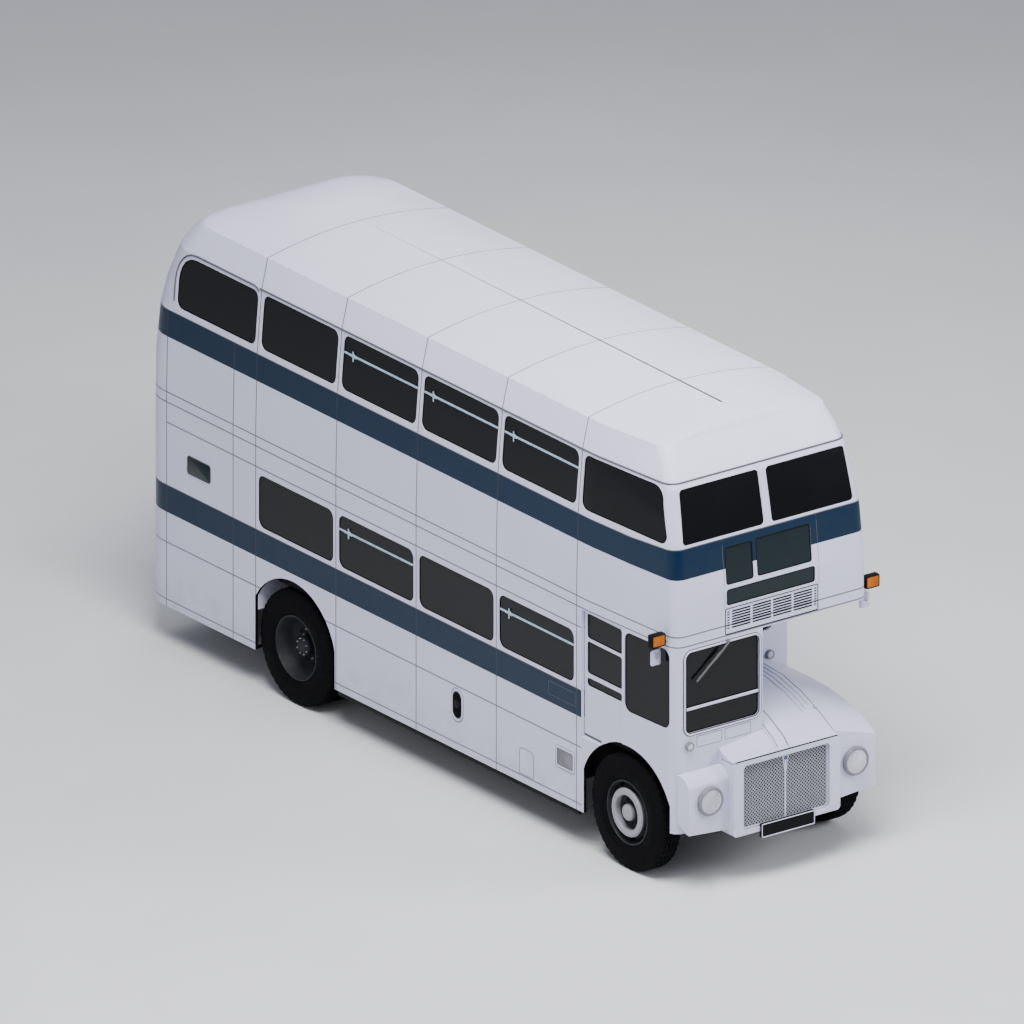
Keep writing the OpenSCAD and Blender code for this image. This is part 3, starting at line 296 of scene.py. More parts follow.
PAINT = coach_paint("coach_paint", WHITE, True)
# The roof takes a brighter, bluer copy of the white paint: painted light, for the stronger light on top.
LIT_ROOF_PAINT = coach_paint("roof_paint", (0.72, 0.715, 0.90), False)
TRIM_PAINT = plain("trim_paint", WHITE, 0.36, 90.0, 0.0004, 0.03, Specular_IOR_Level=0.2)
# Dark grey for seam and outline lines, and for the rain gutters, where it is painted shadow under the gutter.
SEAM_AND_SHADOW_GREY = plain("seam_and_shadow_grey", (0.10, 0.10, 0.115), 0.6, 90.0, 0.0004, 0.08, Specular_IOR_Level=0.15)
LINING = plain("lining", (0.34, 0.36, 0.33), 0.6, 120.0, 0.0006)
# Near black: underseal on arches and undersides, and painted shade in the vent slots, wheel hand holes and
# filler well.
UNDERSEAL_AND_SHADE = plain("underseal_and_painted_shade", (0.003, 0.003, 0.0035), 0.9, 60.0, 0.003, 0.3, Specular_IOR_Level=0.08)
GLASS = plain("dark_glass", (0.004, 0.004, 0.005), 0.09, 3.0, 0.0004, 0.05,
              Alpha=0.95, Specular_IOR_Level=0.2)
BLIND = plain("blind_glass", (0.006, 0.013, 0.015), 0.14, 8.0, 0.0004, 0.1, Specular_IOR_Level=0.2)
RUBBER = plain("rubber", (0.004, 0.004, 0.0045), 0.7, 200.0, 0.0005, 0.2, Specular_IOR_Level=0.1)
TYRE = plain("tyre", (0.0025, 0.0025, 0.003), 0.85, 130.0, 0.0012, 0.25, Specular_IOR_Level=0.08)
IRON = plain("black_iron", (0.005, 0.005, 0.0055), 0.6, 80.0, 0.0012, 0.3, Specular_IOR_Level=0.15)
ENGINE = plain("engine_iron", (0.06, 0.075, 0.07), 0.5, 50.0, 0.002, 0.25)
DARK_WHEEL = plain("dark_wheel", (0.020, 0.020, 0.024), 0.55, 70.0, 0.0008, 0.25, Specular_IOR_Level=0.15)
GREY_WHEEL = plain("grey_wheel", (0.26, 0.26, 0.29), 0.42, 60.0, 0.0008, 0.1)
# Pale blue-grey metal of the window bars; the strips under the bonnet louvres use it as painted shadow.
BAR_METAL_AND_LOUVRE_SHADOW = plain("window_bar_and_louvre_shadow", (0.42, 0.55, 0.66), 0.3, 60.0, 0.0003, 0.06, Metallic=0.4)
CHROME = plain("bright_metal", (0.62, 0.63, 0.65), 0.18, 150.0, 0.0002, 0.05, Metallic=1.0)
WIPER = plain("wiper_grey", (0.075, 0.075, 0.08), 0.5, 120.0, 0.0004, 0.1)
STEEL = plain("brushed_steel", (0.42, 0.43, 0.45), 0.34, 120.0, 0.0004, 0.08, Metallic=1.0)
GRILLE = plain("grille_metal", (0.30, 0.30, 0.345), 0.5, 120.0, 0.0004, 0.08, Metallic=0.2)
AMBER = striped("amber_lens", (0.50, 0.125, 0.0), 0.3, "y", 0.009, 0.0012, Specular_IOR_Level=0.2)
RED = striped("red_lens", (0.42, 0.012, 0.01), 0.2, "z", 0.008, 0.0012, Coat_Weight=0.5)
LAMP = striped("lamp_lens", (0.56, 0.56, 0.62), 0.16, "y", 0.014, 0.0012, Coat_Weight=0.3)
BEZEL = plain("lamp_bezel", (0.19, 0.19, 0.21), 0.4, 150.0, 0.0003, 0.08, Specular_IOR_Level=0.2)
LINO = striped("floor_cover", (0.10, 0.095, 0.09), 0.7, "y", 0.022, 0.0015)
MOQUETTE = moquette()
MIRROR = plain("mirror_glass", (0.75, 0.76, 0.78), 0.04, 20.0, 0.0001, 0.02, Metallic=1.0)
ENAMEL = plain("badge_enamel", (0.02, 0.03, 0.12), 0.2, 90.0, 0.0004, 0.15, Coat_Weight=0.5)
MESH = striped("vent_mesh", (0.20, 0.20, 0.22), 0.6, "z", 0.016, 0.003)


# ------------------------------------------------------- CAD nodes: finishes


def dress(name, materials, pick=None, angle=32):
    """Gives a CAD node its materials, one index a face from pick, and smooth curves."""
    node = NODES[name]
    mesh = node.data
    mesh.materials.clear()
    for material in materials:
        mesh.materials.append(material)
    for face in mesh.polygons:
        face.material_index = pick(face) if pick else 0
        face.use_smooth = True
    custom = mesh.attributes.get("custom_normal")
    if custom:
        mesh.attributes.remove(custom)
    weld = node.modifiers.new("weld", "WELD")
    weld.merge_threshold = 0.00002
    split = node.modifiers.new("creases", "EDGE_SPLIT")
    split.split_angle = math.radians(angle)
    weigh = node.modifiers.new("normals", "WEIGHTED_NORMAL")
    weigh.keep_sharp = True


AXLES = [
    Vector((sum(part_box(n)[k].x for k in (0, 1)) / 2, 0, sum(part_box(n)[k].z for k in (0, 1)) / 2))
    for n in ("front_tyre_right", "rear_tyres_right")
]
ARCH_REACH = 0.74


def in_arch(face):
    for axle in AXLES:
        away = Vector((face.center.x - axle.x, 0, face.center.z - axle.z))
        if away.length < ARCH_REACH and face.normal.dot(away.normalized()) < -0.5:
            return True
    return False


def shell_side(face):
    """0 for outside paint, 1 for the lining inside, 2 for the wheel arches."""
    if in_arch(face):
        return 2
    middle = Vector((min(3.4, max(-3.7, face.center.x)), 0, min(3.7, face.center.z)))
    away = face.center - middle
    return 1 if face.normal.dot(away.normalized()) < -0.3 else 0


def floor_side(face):
    return 0 if face.normal.z > 0.5 else 1


for shell in (
    "lower_side_right",
    "lower_side_left",
    "lower_rear",
    "upper_side_right",
    "upper_side_left",
    "upper_front",
    "upper_rear",
    "emergency_window",
    "cab_front",
    "cab_side",
    "canopy",
):
    dress(shell, [PAINT, LINING, UNDERSEAL_AND_SHADE], shell_side)


def roof_side(face):
    """Paint on the whole crown, whichever way its narrow facets face."""
    return 0 if face.center.z > high("roof").z - 0.005 else shell_side(face)


# The crown gets the brighter roof copy of the white paint, which is painted light.
dress("roof", [LIT_ROOF_PAINT, LINING, UNDERSEAL_AND_SHADE], roof_side)
dress("bulkheads", [bulkhead_paint()])
for panel in ("front_wings", "radiator_shell", "bonnet_side", "bonnet", "cab_inner_wall"):
    dress(panel, [PAINT, LINING, UNDERSEAL_AND_SHADE], lambda face: 2 if in_arch(face) else 0, 26)
dress("cab_door", [PAINT])
for deck in ("lower_floor", "upper_floor", "platform", "cab_floor", "staircase"):
    dress(deck, [LINO, UNDERSEAL_AND_SHADE], floor_side)
for node_name, material in {
    "window_glass": GLASS,
    "cab_glass": GLASS,
    "cab_door_glass": GLASS,
    "emergency_glass": GLASS,
    "blind_glass": BLIND,
    "seat_frames": STEEL,
    "steering_wheel": RUBBER,
    "handrails": CHROME,
    "engine": ENGINE,
    "chassis": IRON,
    "front_axle": IRON,
    "rear_axle": IRON,
    "tow_eyes": IRON,
    "knuckle_right": IRON,
    "knuckle_left": IRON,
}.items():
    dress(node_name, [material])


# ------------------------------------------------------------ geometry tools


FORWARD, UP, DOWN = (1, 0, 0), (0, 0, 1), (0, 0, -1)


class Piece:
    """Points and faces of one mesh object, gathered shape by shape."""

    def __init__(self):
        self.points, self.faces, self.finishes = [], [], []

    def add(self, points, faces, finish=0):
        base = len(self.points)
        self.points += [Vector(p) for p in points]
        self.faces += [[base + k for k in face] for face in faces]
        self.finishes += [finish] * len(faces)

    def rings(self, rings, finish=0, loop=False, closed=True, caps=False):
        """Skins a row of rings that have as many points each."""
        n = len(rings[0])
        faces = []
        for a in range(len(rings) if loop else len(rings) - 1):
            b = (a + 1) % len(rings)
            for k in range(n if closed else n - 1):
                m = (k + 1) % n
                faces.append([a * n + k, a * n + m, b * n + m, b * n + k])
        if caps and not loop:
            faces.append(list(range(n))[::-1])
            faces.append([(len(rings) - 1) * n + k for k in range(n)])
        self.add([p for ring in rings for p in ring], faces, finish)

    def block(self, lo, hi, edge=0.002, finish=0):
        """A box with its edges rounded off."""
        lo, hi = Vector(lo), Vector(hi)
        shape = bmesh.new()
        bmesh.ops.create_cube(shape, size=1.0)
        for vertex in shape.verts:
            vertex.co = (lo + hi) / 2 + Vector(vertex.co[k] * (hi - lo)[k] for k in range(3))
        edge = min(edge, min(hi - lo) * 0.45)
        bmesh.ops.bevel(shape, geom=shape.edges[:], offset=edge, segments=2, affect="EDGES", profile=0.7)
        shape.verts.index_update()
        faces = [[v.index for v in face.verts] for face in shape.faces]
        self.add([v.co.copy() for v in shape.verts], faces, finish)
        shape.free()

    def lathe(self, centre, axis, profile, steps=48, finish=0, notch=None):
        """Turns (along, radius) points about an axis through centre."""
        centre, axis = Vector(centre), Vector(axis).normalized()
        first = Vector((0, 0, 1)) if abs(axis.z) < 0.9 else Vector((1, 0, 0))
        second = axis.cross(first)
        rings = []
        for k in range(steps):
            turn = math.tau * k / steps
            out = first * math.cos(turn) + second * math.sin(turn)
            cut = notch(k) if notch else [0.0] * len(profile)
            rings.append([centre + axis * a + out * max(0.0, r - c) for (a, r), c in zip(profile, cut)])
        self.rings(rings, finish, loop=True, closed=False)

    def sweep(self, path, outward, profile, finish=0, closed=False):
        """Carries a closed (sideways, outward) profile along a path."""
        rings = []
        count = len(path)
        for k, point in enumerate(path):
            before = path[k - 1] if closed or k else point
            after = path[(k + 1) % count] if closed or k < count - 1 else point
            along = (after - before).normalized()
            out = outward[k] if isinstance(outward, list) else Vector(outward)
            out = (out - along * out.dot(along)).normalized()
            side = along.cross(out)
            rings.append([point + side * u + out * v for u, v in profile])
        self.rings(rings, finish, loop=closed, caps=True)

    def tube(self, path, radius, finish=0, sides=10, closed=False):
        profile = [(radius * math.cos(math.tau * k / sides), radius * math.sin(math.tau * k / sides))
                   for k in range(sides)]
        path = [Vector(p) for p in path]
        lean = (path[-1] - path[0]).cross(Vector((0.31, 0.17, 0.93)))
        lean = lean if lean.length > 1e-6 else Vector((0, 0, 1))
        self.sweep(path, lean.normalized(), profile, finish, closed)

    def front_ring(self, x, outline, profile, finish=0):
        """A closed strip along a (y, z) outline, facing the front."""
        self.sweep([Vector((x, y, z)) for y, z in outline], FORWARD, profile, finish, closed=True)

    def lay(self, target, starts, direction, profile, finish=0):
        """A strip on a surface, where parallel rays from the starts meet it."""
        hits = [land(target, start, direction) for start in starts]
        self.sweep([spot for spot, _ in hits], [out for _, out in hits], profile, finish)
        return hits

    def build(self, name, body, slot, materials, replaces=(), angle=35):
        mesh = bpy.data.meshes.new(name)
        mesh.from_pydata(self.points, [], self.faces)
        for material in materials:
            mesh.materials.append(material)
        mesh.polygons.foreach_set("material_index", self.finishes)
        shape = bmesh.new()
        shape.from_mesh(mesh)
        bmesh.ops.remove_doubles(shape, verts=shape.verts[:], dist=0.00003)
        bmesh.ops.recalc_face_normals(shape, faces=shape.faces[:])
        shape.to_mesh(mesh)
        shape.free()
        mesh.shade_smooth()
        mesh.set_sharp_from_angle(angle=math.radians(angle))
        made = bpy.data.objects.new(name, mesh)
        bpy.context.scene.collection.objects.link(made)
        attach(made, body)
        if replaces:
            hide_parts(*replaces)
        return made


def strip(width, height, ease=0.35):
    """Profile of a flat strip with eased edges, standing on the surface."""
    half = width / 2
    edge = min(height, half) * ease
    return [(-half, 0), (half, 0), (half, height - edge), (half - edge, height), (edge - half, height),
            (-half, height - edge)]


def arc(centre, radius, start, stop, steps):
    """Points of an arc in a plane, degrees from the first axis."""
    turns = [math.radians(start + (stop - start) * k / steps) for k in range(steps + 1)]
    return [(centre[0] + radius * math.cos(t), centre[1] + radius * math.sin(t)) for t in turns]


def round_rect(u0, u1, v0, v1, r, steps=5):
    return (
        arc((u1 - r, v1 - r), r, 0, 90, steps)
        + arc((u0 + r, v1 - r), r, 90, 180, steps)
        + arc((u0 + r, v0 + r), r, 180, 270, steps)
        + arc((u1 - r, v0 + r), r, 270, 360, steps)
    )


def tree_of(*names):
    """A ray target made of CAD nodes."""
    points, faces = [], []
    for name in names:
        base = len(points)
        mesh = NODES[name].data
        points += [v.co.copy() for v in mesh.vertices]
        faces += [[base + k for k in face.vertices] for face in mesh.polygons]
    return BVHTree.FromPolygons(points, faces)


def land(target, start, direction):
    """Where a ray meets a surface, and the surface's outward normal there."""
    direction = Vector(direction).normalized()
    point, normal, _, _ = target.ray_cast(Vector(start), direction)
    if point is None:
        raise ValueError(f"nothing at {start} towards {direction}")
    return point, normal if normal.dot(direction) < 0 else -normal


def spaced(start, stop, count):
    return [start + (stop - start) * k / (count - 1) for k in range(count)]


SIDES = (1, -1)
SHELL = tree_of(
    "lower_side_right", "lower_side_left", "lower_rear", "upper_side_right", "upper_side_left", "upper_front",
    "upper_rear", "roof", "canopy", "cab_front", "cab_side",
)


# ---------------------------------------------------------- panes and frames


def islands(name):
    """The separate solids of a CAD node, each a list of (corner numbers, polygon), and the corners."""
    mesh = NODES[name].data
    numbers, spots, index = {}, [], []
    for vertex in mesh.vertices:
        key = tuple(round(c, 4) for c in vertex.co)
        if key not in numbers:
            numbers[key] = len(spots)
            spots.append(vertex.co.copy())
        index.append(numbers[key])
    owner = list(range(len(spots)))

    def root(k):
        while owner[k] != k:
            owner[k] = owner[owner[k]]
            k = owner[k]
        return k

    faces = [[index[k] for k in polygon.vertices] for polygon in mesh.polygons]
    for face in faces:
        for k in face[1:]:
            owner[root(k)] = root(face[0])
    groups = {}
    for face, polygon in zip(faces, mesh.polygons):
        groups.setdefault(root(face[0]), []).append((face, polygon))
    return list(groups.values()), spots


def box_of(group, spots):
    corners = [spots[k] for face, _ in group for k in face]
    return (Vector(min(c[k] for c in corners) for k in range(3)),
            Vector(max(c[k] for c in corners) for k in range(3)))


def pane_rims(name):
    """Each pane's outer edge: (points in order, outward normal, lowest corner, highest corner)."""
    groups, spots = islands(name)
    found = []
    for group in groups:
        flat = max(group, key=lambda item: item[1].area)[1].normal.copy()
        lo, hi = box_of(group, spots)
        middle = (lo + hi) / 2
        away = Vector((middle.x, 0, 0)) if abs(flat.x) > 0.7 else Vector((0, middle.y, 0))
        if flat.dot(away) < 0:
            flat.negate()
        edges = set()
        for face, polygon in group:
            if polygon.normal.dot(flat) > 0.8:
                for edge in zip(face, face[1:] + face[:1]):
                    back = (edge[1], edge[0])
                    if back in edges:
                        edges.remove(back)
                    else:
                        edges.add(edge)
        after = dict(edges)
        start = next(iter(sorted(after)))
        rim, k = [spots[start]], after[start]
        while k != start and k in after and len(rim) < len(after):
            rim.append(spots[k])
            k = after[k]
        found.append((rim, flat, lo, hi))
    return found


def clean(rim, gap=0.0015):
    """The rim without points that lie almost on each other."""
    kept = []
    for point in rim:
        if not kept or (point - kept[-1]).length > gap:
            kept.append(point)
    if (kept[0] - kept[-1]).length < gap:
        kept.pop()
    return kept


def beside(rim, flat, amount):
    """The rim moved outward in its own plane by an amount."""
    middle = sum(rim, Vector()) / len(rim)
    moved = []
    for k, point in enumerate(rim):
        along = (rim[(k + 1) % len(rim)] - rim[k - 1]).normalized()
        out = along.cross(flat).normalized()
        if out.dot(point - middle) < 0:
            out.negate()
        moved.append(point + out * amount)
    return moved


SADDLE = 0.009
BODY_GLASS = pane_rims("window_glass")
CAB_GLASS = pane_rims("cab_glass")
BLINDS = pane_rims("blind_glass")
DOOR_GLASS = pane_rims("cab_door_glass")
EXIT_GLASS = pane_rims("emergency_glass")


def gaskets(name, body, rims, width=SADDLE):
    """Rubber glazing strips that lie on the glass, against the edge of each opening."""
    piece = Piece()
    for rim, flat, _, _ in rims:
        path = beside(clean(rim), flat, -width / 2 - 0.0005)
        piece.sweep(path, flat, strip(width, 0.006, 0.6), closed=True)
    return piece.build(name, body, "black_plastic", [RUBBER])


gaskets("window_gaskets", "body", BODY_GLASS)
gaskets("cab_gaskets", "body", CAB_GLASS)
gaskets("blind_gaskets", "body", BLINDS, 0.011)
gaskets("door_gaskets", "cab_door", DOOR_GLASS)
gaskets("exit_gasket", "emergency_window", EXIT_GLASS)


def is_side(flat):
    return abs(flat.y) > 0.7


LOWER_PANES = sorted((r for r in BODY_GLASS if is_side(r[1]) and r[2].z < 2.5), key=lambda r: r[2].x)
UPPER_PANES = sorted((r for r in BODY_GLASS if is_side(r[1]) and r[2].z > 2.5), key=lambda r: r[2].x)


def pane_row(panes, side):
    return [pane for pane in panes if pane[1].y * side > 0]


def opening_bars():
    """Bars of the half-drop windows with their winders, in the panes that open."""
    piece = Piece()
    glass = tree_of("window_glass")
    for side in SIDES:
        lower, upper = pane_row(LOWER_PANES, side), pane_row(UPPER_PANES, side)
        rows = [(pane, 0.153) for pane in (lower[1], lower[3])] + [(pane, 0.175) for pane in upper[2:5]]
        for (_, flat, lo, hi), drop in rows:
            z = hi.z - drop
            out = flat.normalized()
            ends = [land(glass, (x, side * 2, z), (0, -side, 0))[0]
                    for x in (lo.x + 0.012, hi.x - 0.012)]
            piece.sweep(ends, out, strip(0.020, 0.011, 0.5))
            hub = ends[0].lerp(ends[1], 0.13) + out * 0.004
            piece.lathe(hub, out, [(0, 0), (0, 0.024), (0.006, 0.024), (0.010, 0.016), (0.012, 0)], 20)
            for arm, width in ((Vector((0, 0, 0.05)), 0.012), (Vector((0.055, 0, 0)), 0.014)):
                cross = hub + out * 0.008
                piece.sweep([cross - arm, cross + arm], out, strip(width, 0.008, 0.5))
            piece.lathe(hub + Vector((0.05, 0, 0)) + out * 0.012, out,
                        [(0, 0), (0, 0.010), (0.008, 0.008), (0.009, 0)], 12)
    return piece.build("opening_bars", "body", "rail_steel", [BAR_METAL_AND_LOUVRE_SHADOW])


opening_bars()


# ---------------------------------------------------------------- body trim


def side_path(z, x_from, x_to, side, count):
    hits = [land(SHELL, (x, side * 2, z), (0, -side, 0)) for x in spaced(x_from, x_to, count)]
    return [h[0] for h in hits], [h[1] for h in hits]


def girdle(z, x_from, corner=0.24):
    """Path along one side, round the front and back along the other side, on the shell."""
    path, outward = side_path(z, x_from, X_FRONT - corner - 0.17, -1, 24)
    centre = Vector((X_FRONT - 0.45, 0, z))
    for side in (-1, 1):
        turns = spaced(8, 62, 12) if side < 0 else spaced(62, 8, 12)
        for turn in turns:
            t = math.radians(turn)
            middle = centre + Vector((0, side * (HALF_W - 0.45), 0))
            ray = Vector((math.sin(t), side * math.cos(t), 0))
            point, normal = land(SHELL, middle + ray * 2, -ray)
            path.append(point)
            outward.append(normal)
        if side < 0:
            for y in spaced(-HALF_W + 0.40, HALF_W - 0.40, 15):
                point, normal = land(SHELL, (X_FRONT + 1, y, z), (-1, 0, 0))
                path.append(point)
                outward.append(normal)
    back, back_out = side_path(z, X_FRONT - corner - 0.17, x_from, 1, 24)
    return path + back, outward + back_out


def gutters():
    """Rain gutter under the roof: along the sides, round the front and over the rear side windows, in dark
    grey as painted shadow under its lip.
    """
    piece = Piece()
    path, outward = girdle(GUTTER_Z - 0.006, pane_row(UPPER_PANES, 1)[0][3].x + 0.02)
    piece.sweep(path, [Vector((n.x, n.y, 0)).normalized() for n in outward], strip(0.017, 0.010, 0.5))
    for side in SIDES:
        rim, flat, lo, hi = pane_row(UPPER_PANES, side)[0]
        rim = clean(rim)
        start = min(range(len(rim)), key=lambda k: (rim[k] - Vector((hi.x, rim[k].y, hi.z))).length)
        ahead, behind = rim[(start + 3) % len(rim)], rim[start - 3]
        step = 1 if ahead.z > behind.z or ahead.x < behind.x else -1
        ordered = [rim[(start + step * k) % len(rim)] for k in range(len(rim))]
        wide = beside(ordered, flat, 0.040)
        run = []
        for point in wide:
            if point.z < lo.z + 0.05 and run:
                break
            hit, _ = land(SHELL, point + flat * 0.5, -flat)
            run.append(hit)
        piece.sweep(run, flat, strip(0.017, 0.010, 0.5))
    # The gutter strips are dark grey: painted shadow, the line of shade under the gutter.
    return piece.build("rain_gutters", "body", "white_paint", [SEAM_AND_SHADOW_GREY])


gutters()


def slot_panel():
    """Ventilator panel under the destination blinds: rows of slots between slats, each slot a near black
    plate of painted shade.
    """
    piece = Piece()
    y0, y1, z0, z1 = -0.545, 0.535, CANOPY_Z + 0.03, DECK_Z + 0.166
    x = X_FRONT + 0.0006
    piece.front_ring(x, round_rect(y0, y1, z0, z1, 0.012, 3), strip(0.008, 0.003), 1)
    field = (y0 + 0.065, y1 - 0.055, z0 + 0.045, z1 - 0.022)
    rows, groups = 7, 4
    row_pitch = (field[3] - field[2]) / rows
    group_pitch = (field[1] - field[0]) / groups
    for row in range(rows):
        z = field[2] + row_pitch * (row + 0.5)
        for group in range(groups):
            y = field[0] + group_pitch * group
            # Each slot is a near black plate: painted shade for the dark inside of the vent.
            piece.block((x - 0.002, y + 0.012, z - row_pitch * 0.3),
                        (x + 0.001, y + group_pitch - 0.012, z + row_pitch * 0.26), 0.001, 2)
        for y in (y0 + 0.035, y1 - 0.030):
            piece.block((x - 0.002, y - 0.013, z - row_pitch * 0.22),
                        (x + 0.001, y + 0.013, z + row_pitch * 0.22), 0.001, 2)
    return piece.build("vent_panel", "body", "white_paint", [TRIM_PAINT, RUBBER, UNDERSEAL_AND_SHADE])


slot_panel()


def screen_frame():
    """Frame of the windscreen with its outlines, and the bar across it."""
    piece = Piece()
    rim, flat, lo, hi = max((r for r in CAB_GLASS if r[1].x > 0.7), key=lambda r: r[2].x)
    face = [Vector((X_FRONT + 0.0006, p.y, p.z)) for p in clean(rim)]
    piece.sweep(beside(face, flat, 0.003), flat, strip(0.007, 0.008, 0.5), 1, closed=True)
    piece.sweep(beside(face, flat, 0.017), flat, strip(0.020, 0.010, 0.5), 0, closed=True)
    piece.sweep(beside(face, flat, 0.030), flat, strip(0.006, 0.005, 0.5), 1, closed=True)
    z = lo.z + (hi.z - lo.z) * 0.30
    bar = [Vector((hi.x + 0.001, lo.y + 0.004, z)), Vector((hi.x + 0.001, hi.y - 0.004, z))]
    piece.sweep(bar, flat, strip(0.030, 0.016, 0.4), 0)
    for rise in (-0.017, 0.017):
        line = [p + Vector((0, 0, rise)) for p in bar]
        piece.sweep(line, flat, strip(0.006, 0.010, 0.5), 1)
    return piece.build("windscreen_frame", "body", "white_paint", [TRIM_PAINT, RUBBER])


screen_frame()


def wiper():
    """Windscreen wiper hung from its spindle over the screen."""
    piece = Piece()
    x = X_FRONT + 0.018
    spindle = Vector((x, -0.52, 2.385))
    tip = Vector((x + 0.012, -0.905, 2.075))
    reach = tip - spindle
    piece.lathe(spindle - Vector((0.018, 0, 0)), FORWARD,
                [(0, 0), (0, 0.020), (0.014, 0.020), (0.026, 0.014), (0.032, 0.006), (0.033, 0)], 24)
    knee = spindle + reach * 0.45 + Vector((0.014, 0, 0))
    arm = [spindle + Vector((0.008, 0, 0)), spindle + reach * 0.2 + Vector((0.014, 0, 0)), knee]
    piece.tube(arm, 0.010)
    across = Vector((0, -reach.z, reach.y)).normalized()
    piece.tube([knee, spindle + reach * 0.62 + Vector((0.006, 0, 0))], 0.008)
    blade = [spindle + reach * t + across * 0.004 for t in spaced(0.24, 1.0, 8)]
    piece.sweep(blade, (1, 0, 0), strip(0.022, 0.008, 0.5), 0)
    piece.sweep([p - Vector((0.012, 0, 0)) for p in blade], (1, 0, 0), strip(0.005, 0.012), 1)
    for t in (0.34, 0.62, 0.9):
        point = spindle + reach * t
        piece.block(point - Vector((0.006, 0.010, 0.010)), point + Vector((0.010, 0.010, 0.010)), 0.003)
    return piece.build("wiper", "body", "rail_steel", [WIPER, RUBBER])


wiper()


def lamp(piece, centre, axis, radius, depth):
    """A round lamp: bezel, dark gasket, ribbed lens and its rear shell."""
    r = radius
    bezel = [(0.0, 0.98), (0.55, 1.0), (0.85, 0.95), (0.92, 0.86), (0.72, 0.78)]
    gasket = [(0.72, 0.79), (0.80, 0.76), (0.72, 0.72)]
    dome = [(0.70 + 0.26 * math.cos(t), 0.73 * math.sin(t)) for t in map(math.radians, spaced(90, 0, 9))]
    for finish, section in enumerate((bezel, gasket, dome)):
        piece.lathe(centre, axis, [(a * depth, b * r) for a, b in section], 48, finish)
    for turn in (0, 120, 240):
        t = math.radians(turn + 90)
        spot = Vector(centre) + Vector((0, math.cos(t) * r * 0.88, math.sin(t) * r * 0.88))
        screw = spot + Vector(axis) * depth * 0.86
        piece.lathe(screw, axis, [(0, 0.006), (0.0015, 0.005), (0.002, 0)], 10, 0)


def lamps(name, node, slot, materials, facing):
    """The lamps of one node, on the face that each solid stands on."""
    piece = Piece()
    groups, spots = islands(node)
    for group in groups:
        lo, hi = box_of(group, spots)
        foot = lo.x if facing > 0 else hi.x
        centre = Vector((foot, (lo.y + hi.y) / 2, (lo.z + hi.z) / 2))
        lamp(piece, centre, (facing, 0, 0), (hi.y - lo.y) / 2, hi.x - lo.x)
    return piece.build(name, "body", slot, materials, [node])


lamps("lamps", "front_lamps", "lamp_glass", [BEZEL, TRIM_PAINT, LAMP], 1)
lamps("rear_lamps", "tail_lamps", "red_lens", [CHROME, RUBBER, RED], -1)


def indicators():
    """Black flasher boxes on arms at the canopy's corners, amber to the front."""
    piece = Piece()
    groups, spots = islands("indicators")
    for group in groups:
        lo, hi = box_of(group, spots)
        side = 1 if lo.y > 0 else -1
        outer = hi.y if side > 0 else lo.y
        inner = outer - side * 0.158
        y0, y1 = sorted((inner, outer))
        lo.z, hi.z = lo.z + 0.024, hi.z + 0.050
        piece.block((lo.x + 0.004, y0, lo.z + 0.008), (hi.x - 0.010, y1, hi.z - 0.002), 0.010, 0)
        edge = round_rect(y0 + 0.006, y1 - 0.006, lo.z + 0.014, hi.z - 0.008, 0.008, 3)
        piece.front_ring(hi.x - 0.012, edge, strip(0.011, 0.011, 0.5))
        lens = (hi.x - 0.014, y0 + 0.013, lo.z + 0.021), (hi.x - 0.002, y1 - 0.013, hi.z - 0.015)
        piece.block(*lens, 0.004, 1)
        root = lo.y + 0.004 if side > 0 else hi.y - 0.004
        arm_z = lo.z + 0.030
        piece.tube([(lo.x + 0.035, root, arm_z), (lo.x + 0.035, inner + side * 0.01, arm_z)], 0.012, 0)
    return piece.build("indicator_lamps", "body", "black_plastic", [RUBBER, AMBER], ["indicators"])


indicators()


def mirrors():
    """Driving mirrors: a rounded pan with its glass to the rear, on a bent arm."""
    piece = Piece()
    groups, spots = islands("mirrors")
    for group in groups:
        lo, hi = box_of(group, spots)
        side = 1 if lo.y > 0 else -1
        y0, y1 = lo.y + 0.004, hi.y - 0.004
        z0, z1 = lo.z + 0.002, lo.z + 0.155
        outline = round_rect(y0, y1, z0, z1, 0.022, 5)
        mid_y, mid_z = (y0 + y1) / 2, (z0 + z1) / 2
        pan = ((0.004, 0.98, 0.98), (0.012, 1.0, 1.0), (0.024, 0.93, 0.93), (0.034, 0.72, 0.72),
               (0.038, 0.35, 0.35))
        glass = ((0.002, 0.9, 0.92), (0.005, 0.9, 0.92))
        for finish, sections in enumerate((pan, glass)):
            rings = [[Vector((lo.x + x, mid_y + (y - mid_y) * wide, mid_z + (z - mid_z) * tall))
                      for y, z in outline] for x, wide, tall in sections]
            piece.rings(rings, finish, caps=True)
        stem = Vector((lo.x + 0.038, mid_y, mid_z))
        bend = Vector((stem.x + 0.020, mid_y - side * 0.01, hi.z - 0.03))
        top = Vector((stem.x + 0.014, mid_y - side * 0.02, hi.z))
        piece.tube([stem, stem + Vector((0.018, 0, 0.01)), bend, top], 0.008, 2)
    return piece.build("driving_mirrors", "body", "mirror_back", [TRIM_PAINT, MIRROR, STEEL], ["mirrors"])


mirrors()


# ------------------------------------------------------------------- wheels


def wheel_place(node):
    """Side of the bus, and the axle's point in the outer face of the tyre."""
    lo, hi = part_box(node)
    side = 1 if lo.y > 0 else -1
    outer = hi.y if side > 0 else lo.y
    return side, Vector(((lo.x + hi.x) / 2, outer, (lo.z + hi.z) / 2))


TYRE_W = high("front_tyre_left").y - low("front_tyre_left").y
TYRE_R = high("front_tyre_left").z / 2
RIM_R = (high("front_wheel_left").z - low("front_wheel_left").z) / 2


